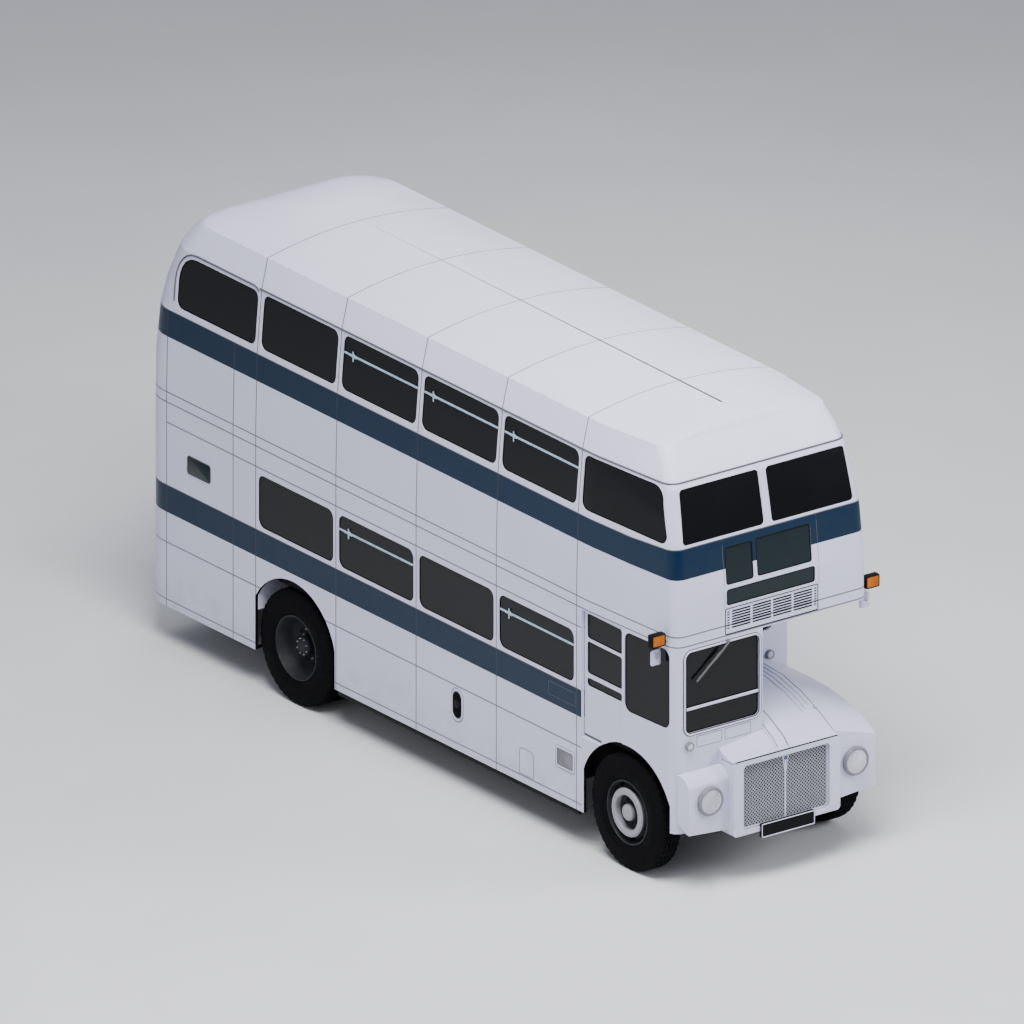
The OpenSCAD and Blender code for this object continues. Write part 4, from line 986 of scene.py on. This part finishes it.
def tyre_profile():
    """Half section from the bead over the shoulder to the middle of the tread."""
    half = TYRE_W / 2
    wall = [(-half + 0.024, RIM_R), (-half + 0.012, RIM_R + 0.012), (-half + 0.006, RIM_R + 0.045),
            (-half + 0.002, RIM_R + 0.055), (-half, RIM_R + 0.115), (-half + 0.003, RIM_R + 0.122),
            (-half + 0.004, RIM_R + 0.165), (-half + 0.011, RIM_R + 0.208), (-half + 0.017, TYRE_R - 0.020)]
    tread = [(-half + 0.025, TYRE_R - 0.006)]
    for groove in (-0.060, -0.020):
        tread += [(groove - 0.005, TYRE_R - 0.001), (groove - 0.004, TYRE_R - 0.013),
                  (groove + 0.004, TYRE_R - 0.013), (groove + 0.005, TYRE_R - 0.001)]
    first = wall + tread
    return first + [(-a, r) for a, r in reversed(first)]


def tyre_notch(k):
    """Cross grooves over the shoulders and the tread blocks."""
    profile = tyre_profile()
    if k % 4:
        return [0.0] * len(profile)
    return [0.009 if r > TYRE_R - 0.022 else 0.0 for _, r in profile]


def tyres(name, nodes, body, twins):
    piece = Piece()
    side, centre = wheel_place(nodes[0])
    lo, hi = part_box(nodes[0])
    spots = [centre.y - side * TYRE_W / 2]
    if twins:
        spots.append((lo.y if side > 0 else hi.y) + side * TYRE_W / 2)
    for y in spots:
        piece.lathe((centre.x, y, centre.z), (0, side, 0), tyre_profile(), 176, 0, tyre_notch)
    return piece.build(name, body, "tyre", [TYRE], nodes, 30)


def studs(piece, centre, axis, radius, count, size, finish):
    """Ring of hexagonal nuts with their stud ends."""
    axis = Vector(axis)
    for k in range(count):
        t = math.tau * (k + 0.5) / count
        spot = Vector(centre) + Vector((math.cos(t) * radius, 0, math.sin(t) * radius))
        corners = [math.tau * m / 6 for m in range(6)]
        hexagon = [[spot + axis * a + Vector((math.cos(m) * r, 0, math.sin(m) * r)) for m in corners]
                   for a, r in ((0, size), (size * 0.9, size), (size * 1.1, size * 0.8))]
        piece.rings(hexagon, finish, caps=True)
        piece.lathe(spot, axis, [(0, size * 0.5), (size * 1.9, size * 0.5), (size * 2.0, 0)], 10, finish)


def front_wheel(name, node, body):
    """Front wheel: dark disc with ten hand holes as near black patches of painted shade, pale nut guard ring
    and hub cap.
    """
    piece = Piece()
    side, tyre_edge = wheel_place(node.replace("wheel", "tyre"))
    axis = Vector((0, side, 0))
    centre = tyre_edge - axis * TYRE_W / 2
    half = TYRE_W / 2
    disc = [(-half + 0.030, RIM_R - 0.012), (half - 0.030, RIM_R - 0.012), (half - 0.022, RIM_R),
            (half - 0.012, RIM_R - 0.002), (half - 0.012, RIM_R - 0.014), (half - 0.030, RIM_R - 0.024),
            (0.030, RIM_R - 0.034), (0.036, RIM_R - 0.050), (0.052, RIM_R - 0.075), (0.055, 0.150),
            (0.045, 0.140), (0.045, 0.0)]
    piece.lathe(centre, axis, disc, 72, 0)
    ring = [(0.052, 0.176), (0.104, 0.172), (0.116, 0.175), (0.122, 0.183), (0.124, 0.205), (0.120, 0.226),
            (0.108, 0.238), (0.100, 0.240), (0.096, 0.236), (0.054, 0.214)]
    piece.lathe(centre, axis, ring, 72, 1)
    piece.lathe(centre, axis, [(0.056, 0.246), (0.061, 0.2475), (0.056, 0.250)], 72, 2)
    # The hand holes are near black patches: painted shade for the view through them into the wheel.
    for k in range(10):
        t = math.tau * (k + 0.5) / 10
        out = Vector((math.cos(t), 0, math.sin(t)))
        spot = centre + out * 0.286 + axis * 0.0410
        lean = (axis + out * 0.55).normalized()
        hole = [(0.0, 0.031), (0.005, 0.030), (0.006, 0.027), (-0.002, 0.025), (-0.002, 0.0)]
        piece.lathe(spot, lean, hole, 20, 3)
    studs(piece, centre + axis * 0.052, axis, 0.118, 10, 0.013, 0)
    hub = [(0.045, 0.100), (0.070, 0.098), (0.078, 0.092), (0.080, 0.084)]
    piece.lathe(centre, axis, hub, 48, 0)
    cap = [(0.070, 0.080), (0.104, 0.079), (0.113, 0.072), (0.117, 0.050), (0.118, 0.0)]
    piece.lathe(centre, axis, cap, 48, 1)
    piece.lathe(centre, -axis, [(-0.045, 0.15), (0.08, 0.11), (0.098, 0.10), (0.10, 0.05)], 36, 0)
    return piece.build(name, body, "wheel_paint", [DARK_WHEEL, GREY_WHEEL, STEEL, UNDERSEAL_AND_SHADE], [node], 30)


def rear_wheel(name, node, body):
    """Twin rear wheel: deep dark dishes, hub flange, nuts and half shaft cap."""
    piece = Piece()
    twins = node.replace("wheels", "tyres")
    side, tyre_edge = wheel_place(twins)
    axis = Vector((0, side, 0))
    half = TYRE_W / 2
    centre = tyre_edge - axis * half
    dish = [(half - 0.022, RIM_R), (half - 0.012, RIM_R - 0.002), (half - 0.012, RIM_R - 0.014),
            (half - 0.034, RIM_R - 0.026), (-0.040, RIM_R - 0.040), (-0.085, RIM_R - 0.070),
            (-0.105, RIM_R - 0.110), (-0.100, 0.150), (-0.100, 0.105)]
    piece.lathe(centre, axis, dish, 72, 0)
    # The ten hand holes are near black patches: painted shade for the view through the dish.
    for k in range(10):
        t = math.tau * (k + 0.5) / 10
        out = Vector((math.cos(t), 0, math.sin(t)))
        spot = centre + out * 0.222 - axis * 0.101
        hole = [(0.0, 0.024), (0.004, 0.023), (0.005, 0.019), (-0.004, 0.017), (-0.004, 0.0)]
        piece.lathe(spot, axis, hole, 20, 1)
    studs(piece, centre - axis * 0.100, axis, 0.150, 10, 0.014, 2)
    hub = [(-0.101, 0.125), (-0.080, 0.122), (-0.060, 0.110), (-0.050, 0.100), (0.020, 0.094),
           (0.030, 0.086), (0.030, 0.070), (0.036, 0.066), (0.044, 0.050), (0.046, 0.0)]
    piece.lathe(centre, axis, hub, 48, 0)
    studs(piece, centre + axis * 0.030, axis, 0.078, 8, 0.008, 2)
    inner = centre - axis * (high(twins).y - low(twins).y - TYRE_W)
    barrel = [(half - 0.020, RIM_R), (half - 0.020, RIM_R - 0.015), (-half + 0.030, RIM_R - 0.030),
              (-half + 0.014, RIM_R - 0.012), (-half + 0.014, RIM_R)]
    piece.lathe(inner, axis, barrel, 60, 0)
    web = [(0.080, RIM_R - 0.030), (0.100, 0.20), (0.105, 0.10), (-0.06, 0.10), (-0.06, 0.20),
           (0.06, RIM_R - 0.045)]
    piece.lathe(inner, axis, web, 60, 0)
    return piece.build(name, body, "wheel_paint", [DARK_WHEEL, UNDERSEAL_AND_SHADE, STEEL], [node], 30)


for flank in ("right", "left"):
    tyres(f"tread_front_{flank}", [f"front_tyre_{flank}"], f"front_wheel_{flank}", False)
    tyres(f"tread_rear_{flank}", [f"rear_tyres_{flank}"], f"rear_wheel_{flank}", True)
    front_wheel(f"rim_front_{flank}", f"front_wheel_{flank}", f"front_wheel_{flank}")
    rear_wheel(f"rim_rear_{flank}", f"rear_wheels_{flank}", f"rear_wheel_{flank}")


# ------------------------------------------------------------------ the nose


def grille():
    """Woven mesh behind the radiator's opening, with a centre bar and a plain badge."""
    piece = Piece()
    lo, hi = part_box("radiator_grille")
    x = hi.x - 0.012
    y1, z0, z1 = hi.y - 0.006, lo.z + 0.006, hi.z - 0.006
    opening = round_rect(-y1, y1, z0, z1, 0.04, 4)
    piece.rings([[Vector((lo.x + dx, y, z)) for y, z in opening] for dx in (0.002, 0.012)], 2, caps=True)
    pitch, wire = 0.0262, 0.0050
    reach = z1 - z0
    count = int((2 * y1 + reach) / (pitch * math.sqrt(2))) + 1
    for lean in (1, -1):
        depth = x if lean > 0 else x - 0.004
        for k in range(count):
            start = -y1 - reach + pitch * math.sqrt(2) * (k + 0.5)
            t0, t1 = max(0.0, -y1 - start), min(reach, y1 - start)
            if t1 - t0 < 0.015:
                continue
            ends = [Vector((depth, lean * (start + t), z0 + t)) for t in (t0, t1)]
            piece.sweep(ends, FORWARD, strip(wire * 2, 0.005, 0.6), 0)
    edge = round_rect(-y1 + 0.006, y1 - 0.006, z0 + 0.006, z1 - 0.006, 0.035, 5)
    piece.front_ring(x - 0.006, edge, strip(0.014, 0.014, 0.5), 1)
    piece.sweep([Vector((x, 0, z0)), Vector((x, 0, z1))], FORWARD, strip(0.016, 0.013, 0.5), 1)
    for side in SIDES:
        brace = [Vector((x, side * 0.005, z1 - 0.17)), Vector((x, side * 0.034, z1))]
        piece.sweep(brace, FORWARD, strip(0.008, 0.012, 0.5), 1)
    badge = Vector((x + 0.004, 0, z1 - 0.034))
    piece.lathe(badge, FORWARD, [(0, 0.026), (0.008, 0.026), (0.010, 0.022)], 28, 1)
    piece.lathe(badge, FORWARD, [(0.0085, 0.0225), (0.0105, 0.012), (0.011, 0)], 28, 3)
    return piece.build("grille_mesh", "body", "grille_metal", [GRILLE, TRIM_PAINT, UNDERSEAL_AND_SHADE, ENAMEL],
                       ["radiator_grille"])


grille()


def blank_plate():
    """Blank number plate, black with a pale edge."""
    piece = Piece()
    lo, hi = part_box("number_plates")
    outline = round_rect(lo.y + 0.001, hi.y - 0.001, lo.z + 0.001, hi.z - 0.001, 0.012, 4)
    piece.rings([[Vector((x, y, z)) for y, z in outline] for x in (lo.x, hi.x - 0.006)], 0, caps=True)
    edge = round_rect(lo.y + 0.006, hi.y - 0.006, lo.z + 0.006, hi.z - 0.006, 0.010, 4)
    piece.front_ring(hi.x - 0.006, [(y * 0.99, z) for y, z in edge], strip(0.009, 0.005, 0.5), 1)
    return piece.build("blank_plate", "body", "plate", [RUBBER, TRIM_PAINT], ["number_plates"])


blank_plate()


def nose_trim():
    """Bead under the bonnet's front edge, the fixed hinge strip and its lines."""
    piece = Piece()
    top = high("radiator_shell").z
    half = high("radiator_shell").y
    x = high("radiator_shell").x - 0.004
    bead = [Vector((x, y, top)) for y in spaced(-half + 0.03, half - 0.03, 9)]
    piece.sweep(bead, UP, strip(0.009, 0.010, 0.6), 1)
    ridge = tree_of("bonnet_side")
    fixed_edge = high("bonnet_side").y
    stations = spaced(low("bonnet").x + 0.02, high("bonnet_side").x - 0.02, 30)
    for inset, width, height, finish in ((0.062, 0.110, 0.0035, 0), (0.118, 0.005, 0.0045, 1),
                                         (0.006, 0.005, 0.0045, 1)):
        above = [(px, fixed_edge - inset, 3) for px in stations]
        piece.lay(ridge, above, DOWN, strip(width, height, 0.5), finish)
    return piece.build("bonnet_strip", "body", "white_paint", [TRIM_PAINT, RUBBER])


nose_trim()


def bonnet_louvres():
    """Three long pressed louvres, each with a strip of painted shadow beneath, and the two catches of the
    lifting bonnet.
    """
    piece = Piece()
    skin = tree_of("bonnet")
    lo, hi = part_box("bonnet")
    for k in range(3):
        y = hi.y - 0.045 - 0.060 * k
        above = [(x, y, 3) for x in spaced(lo.x + 0.34 + 0.05 * k, lo.x + 1.16 + 0.05 * k, 26)]
        hits = piece.lay(skin, above, DOWN, strip(0.016, 0.005, 0.8))
        # Beneath each louvre a thin pale blue-grey strip: painted shadow under the louvre's lip.
        beneath = [spot - Vector((0, 0.009, -0.002)) for spot, _ in hits]
        piece.sweep(beneath, [out for _, out in hits], strip(0.005, 0.0025, 0.5), 1)
    for x in (lo.x + 0.35, lo.x + 1.20):
        point, _ = land(skin, (x, hi.y - 0.012, 3), DOWN)
        catch = point - Vector((0.045, 0.004, 0.004)), point + Vector((0.045, 0.010, 0.010))
        piece.block(*catch, 0.004, 2)
    return piece.build("bonnet_louvres", "bonnet", "white_paint", [TRIM_PAINT, BAR_METAL_AND_LOUVRE_SHADOW, STEEL])


bonnet_louvres()


# ------------------------------------------------------ flaps and side details


def side_outline(piece, outline, width, height, finish):
    """A thin line round a flap on the offside: outline is (x, z) points."""
    path = [Vector((x, -HALF_W - 0.0004, z)) for x, z in outline]
    piece.sweep(path, (0, -1, 0), strip(width, height, 0.5), finish, closed=True)


def side_plate(piece, outline, thick, finish):
    """A thin plate on the offside, with its edge eased."""
    count = len(outline)
    mid_x, mid_z = sum(x for x, _ in outline) / count, sum(z for _, z in outline) / count
    rings = [[Vector((x, -HALF_W - t, z)) for x, z in outline] for t in (0.0, thick * 0.7)]
    rings.append([Vector((mid_x + (x - mid_x) * 0.98, -HALF_W - thick, mid_z + (z - mid_z) * 0.985))
                  for x, z in outline])
    piece.rings(rings, finish, caps=True)


def flaps():
    """Fuel filler, step flap, ventilator, hatch and intake on the offside."""
    piece = Piece()
    pale, line, dark, cap_iron, mesh, glass = range(6)
    mid_x, mid_z = 0.694, 0.835

    def oval(half_x, half_z, r):
        return [(mid_x + u, mid_z + w) for u, w in round_rect(-half_x, half_x, -half_z, half_z, r, 8)]

    rim, well = oval(0.092, 0.168, 0.0915), oval(0.068, 0.132, 0.0675)
    side_outline(piece, rim, 0.005, 0.003, line)
    raised = [(mid_x + (x - mid_x) * 0.87, mid_z + (z - mid_z) * 0.91) for x, z in rim]
    side_outline(piece, raised, 0.016, 0.007, pale)
    # The filler's well is a near black plate: painted shade in the recess.
    side_plate(piece, well, 0.003, dark)
    side_outline(piece, well, 0.008, 0.005, line)
    cap = Vector((mid_x, -HALF_W - 0.002, mid_z + 0.01))
    piece.lathe(cap, (0, -1, 0), [(0, 0.040), (0.006, 0.040), (0.009, 0.034), (0.010, 0.0)], 32, cap_iron)
    grip = cap + Vector((-0.030, -0.013, -0.004)), cap + Vector((0.030, -0.008, 0.004))
    piece.block(*grip, 0.002, cap_iron)
    step = [(1.665, 0.467), (1.885, 0.467)]
    step += arc((1.835, 0.678), 0.05, 0, 90, 5) + arc((1.715, 0.678), 0.05, 90, 180, 5)
    side_outline(piece, step, 0.006, 0.002, line)
    vent = round_rect(2.243, 2.513, 0.730, 0.920, 0.025, 4)
    side_plate(piece, vent, 0.003, mesh)
    side_outline(piece, vent, 0.016, 0.006, pale)
    side_outline(piece, round_rect(2.228, 2.528, 0.715, 0.935, 0.03, 4), 0.004, 0.002, line)
    hatch = round_rect(2.12, 2.54, LOWER_BAND[0] + 0.08, LOWER_BAND[1] - 0.06, 0.012, 3)
    side_outline(piece, hatch, 0.004, 0.0015, line)
    intake = round_rect(-3.521, -3.161, 1.825, 2.005, 0.030, 4)
    side_plate(piece, intake, 0.004, glass)
    side_outline(piece, intake, 0.008, 0.006, line)
    materials = [TRIM_PAINT, SEAM_AND_SHADOW_GREY, UNDERSEAL_AND_SHADE, IRON, MESH, BLIND]
    return piece.build("side_flaps", "body", "white_paint", materials)


flaps()


def guard_rails():
    """Lifeguard rails under the skirts between the axles, on brackets."""
    piece = Piece()
    z = SKIRT_Z - 0.035
    x0, x1 = AXLES[1].x + 0.68, X_JAMB - 0.06
    for side in SIDES:
        y = side * (HALF_W - 0.030)
        piece.block((x0, y - 0.012, z - 0.020), (x1, y + 0.012, z + 0.020), 0.006, 0)
        for x in spaced(x0 + 0.12, x1 - 0.12, 6):
            piece.block((x - 0.02, y - 0.008, z), (x + 0.02, y + 0.008, SKIRT_Z + 0.03), 0.004, 0)
    return piece.build("guard_rails", "body", "chassis_black", [IRON])


guard_rails()


def front_flaps():
    """Two flaps under the windscreen, beads on the window pillar, lines beside the blinds."""
    piece = Piece()
    x = X_FRONT + 0.0004
    for y0, y1 in ((-0.88, -0.59), (-0.55, -0.25)):
        piece.front_ring(x, round_rect(y0, y1, 1.395, 1.505, 0.012, 3), strip(0.004, 0.0015, 0.5))
    skin = tree_of("upper_front")
    beads = (((-0.026, 0.026), spaced(3.42, GUTTER_Z - 0.05, 14), strip(0.008, 0.005, 0.6), 1),
             ((-0.552, 0.548), spaced(DECK_Z + 0.17, 3.40, 10), strip(0.004, 0.0012, 0.6), 0))
    for places, levels, profile, finish in beads:
        for y in places:
            piece.lay(skin, [(X_FRONT + 1, y, z) for z in levels], (-1, 0, 0), profile, finish)
    return piece.build("front_lines", "body", "white_paint", [SEAM_AND_SHADOW_GREY, TRIM_PAINT])


front_flaps()


def door_fittings():
    """Edge strip and sill strip of the sliding cab door."""
    piece = Piece()
    lo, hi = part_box("cab_door")
    y = lo.y - 0.0004
    piece.block((hi.x - 0.006, y - 0.004, lo.z + 0.16), (hi.x - 0.001, y + 0.004, hi.z - 0.01), 0.001)
    for x in spaced(lo.x + 0.04, hi.x - 0.34, 9):
        piece.block((x - 0.014, y - 0.006, lo.z + 0.002), (x + 0.014, y + 0.004, lo.z + 0.020), 0.002)
    return piece.build("door_strips", "cab_door", "rail_steel", [SEAM_AND_SHADOW_GREY])


door_fittings()


# --------------------------------------------------------------- upholstery


def pad_mesh(size, crown, steps=20):
    """A stuffed pad of that size, blown up as cloth: points and faces about its middle."""
    shape = bmesh.new()
    bmesh.ops.create_cube(shape, size=1.0)
    for vertex in shape.verts:
        vertex.co = Vector(vertex.co[k] * (size[k] - crown * (1.7 if k == 2 else 0.6)) for k in range(3))
    bmesh.ops.bevel(shape, geom=shape.edges[:], offset=0.018, segments=3, affect="EDGES", profile=0.6)
    mesh = bpy.data.meshes.new("pad")
    shape.to_mesh(mesh)
    shape.free()
    pad = bpy.data.objects.new("pad", mesh)
    bpy.context.scene.collection.objects.link(pad)
    remesh = pad.modifiers.new("remesh", "REMESH")
    remesh.mode = "VOXEL"
    remesh.voxel_size = 0.009
    freeze(pad)
    rest = [v.co.copy() for v in pad.data.vertices]
    cloth = pad.modifiers.new("cloth", "CLOTH")
    cloth.settings.use_pressure = True
    cloth.settings.uniform_pressure_force = 4.0
    cloth.settings.effector_weights.gravity = 0.0
    cloth.settings.tension_stiffness = 20.0
    cloth.settings.bending_stiffness = 4.0
    for step in range(1, steps + 1):
        bpy.context.scene.frame_set(step)
    freeze(pad)
    bpy.context.scene.frame_set(1)
    for vertex, start in zip(pad.data.vertices, rest):
        move = vertex.co - start
        if move.length > crown:
            vertex.co = start + move.normalized() * crown
    thin = pad.modifiers.new("thin", "DECIMATE")
    thin.ratio = min(1.0, 900 / max(1, len(pad.data.polygons) * 2))
    freeze(pad)
    points = [v.co.copy() for v in pad.data.vertices]
    faces = [list(f.vertices) for f in pad.data.polygons]
    bpy.data.objects.remove(pad)
    return points, faces


def freeze(obj):
    """Applies the object's modifiers to its mesh."""
    seen = obj.evaluated_get(bpy.context.evaluated_depsgraph_get())
    mesh = bpy.data.meshes.new_from_object(seen)
    obj.modifiers.clear()
    obj.data = mesh


def upholstery():
    """Every seat's base and back: a blown pad fitted to its solid's box, with piping."""
    groups, spots = islands("seat_cushions")
    boxes = [box_of(group, spots) for group in groups]
    base, base_faces = pad_mesh(Vector((0.38, 0.85, 0.095)), 0.012)
    reach = [max(abs(p[k]) for p in base) * 2 for k in range(3)]
    pieces = {"seat_bases": Piece(), "seat_backs": Piece()}
    for lo, hi in boxes:
        size = hi - lo
        upright = size.z > size.x * 2
        piece = pieces["seat_backs" if upright else "seat_bases"]
        middle = (lo + hi) / 2
        span = Vector((size.z, size.y, size.x)) if upright else size
        placed = []
        for p in base:
            fit = Vector(p[k] / reach[k] * (span[k] - 0.004) for k in range(3))
            placed.append(middle + (Vector((-fit.z, fit.y, fit.x)) if upright else fit))
        piece.add(placed, base_faces, 0)
        half = Vector((span.x / 2 - 0.006, span.y / 2 - 0.006, span.z / 2))
        outline = round_rect(-half.x, half.x, -half.y, half.y, 0.03, 3)
        rise = half.z * 0.52
        path = [middle + (Vector((rise, v, u)) if upright else Vector((u, v, rise))) for u, v in outline]
        cord = [(0.0035 * math.cos(math.tau * k / 6), 0.0035 * math.sin(math.tau * k / 6)) for k in range(6)]
        piece.sweep(path, FORWARD if upright else UP, cord, 1, closed=True)
    for name, piece in pieces.items():
        replaced = ["seat_cushions"] if name == "seat_bases" else []
        piece.build(name, "body", "moquette", [MOQUETTE, RUBBER], replaced, 50)


upholstery()


# ------------------------------------------------------------------- studio


def studio():
    """Pale floor, a cool sky and four soft lights."""
    mesh = bpy.data.meshes.new("floor")
    reach = 90.0
    mesh.from_pydata([(-reach, -reach, 0), (reach, -reach, 0), (reach, reach, 0), (-reach, reach, 0)], [],
                     [(0, 1, 2, 3)])
    mesh.materials.append(floor_look())
    floor = bpy.data.objects.new("floor", mesh)
    bpy.context.scene.collection.objects.link(floor)
    world = bpy.data.worlds.new("studio")
    world.use_nodes = True
    sky = world.node_tree.nodes["Background"]
    sky.inputs["Color"].default_value = (0.80, 0.86, 1.0, 1.0)
    sky.inputs["Strength"].default_value = 0.40
    bpy.context.scene.world = world
    for name, place, size, power in (
        ("key", (7, -5, 17), 9.0, 5000.0),
        ("fill", (4, -15, 6), 9.0, 330.0),
        ("bonnet", (14, 10, 8), 6.0, 1500.0),
        ("back", (-9, 8, 10), 8.0, 500.0),
    ):
        light = bpy.data.lights.new(name, "AREA")
        light.size = size
        light.energy = power
        lamp_obj = bpy.data.objects.new(name, light)
        lamp_obj.location = place
        lamp_obj.rotation_euler = (Vector((0, 0, 2)) - Vector(place)).to_track_quat("-Z", "Y").to_euler()
        bpy.context.scene.collection.objects.link(lamp_obj)


def camera():
    """Camera far off on the offside front and above, without perspective."""
    turn, rise = math.radians(36.81), math.radians(21.81)
    back = Vector((math.cos(turn) * math.cos(rise), -math.sin(turn) * math.cos(rise), math.sin(rise)))
    right = Vector((math.sin(turn), math.cos(turn), 0))
    up = back.cross(right)
    anchor = Vector((0.053, -HALF_W, 0))
    aim = anchor + right * 0.896 + up * 2.391
    data = bpy.data.cameras.new("camera")
    data.type = "ORTHO"
    data.ortho_scale = 9.588
    data.clip_end = 200.0
    made = bpy.data.objects.new("camera", data)
    made.location = aim + back * 30
    made.rotation_euler = (-back).to_track_quat("-Z", "Y").to_euler()
    bpy.context.scene.collection.objects.link(made)
    bpy.context.scene.camera = made


studio()
camera()
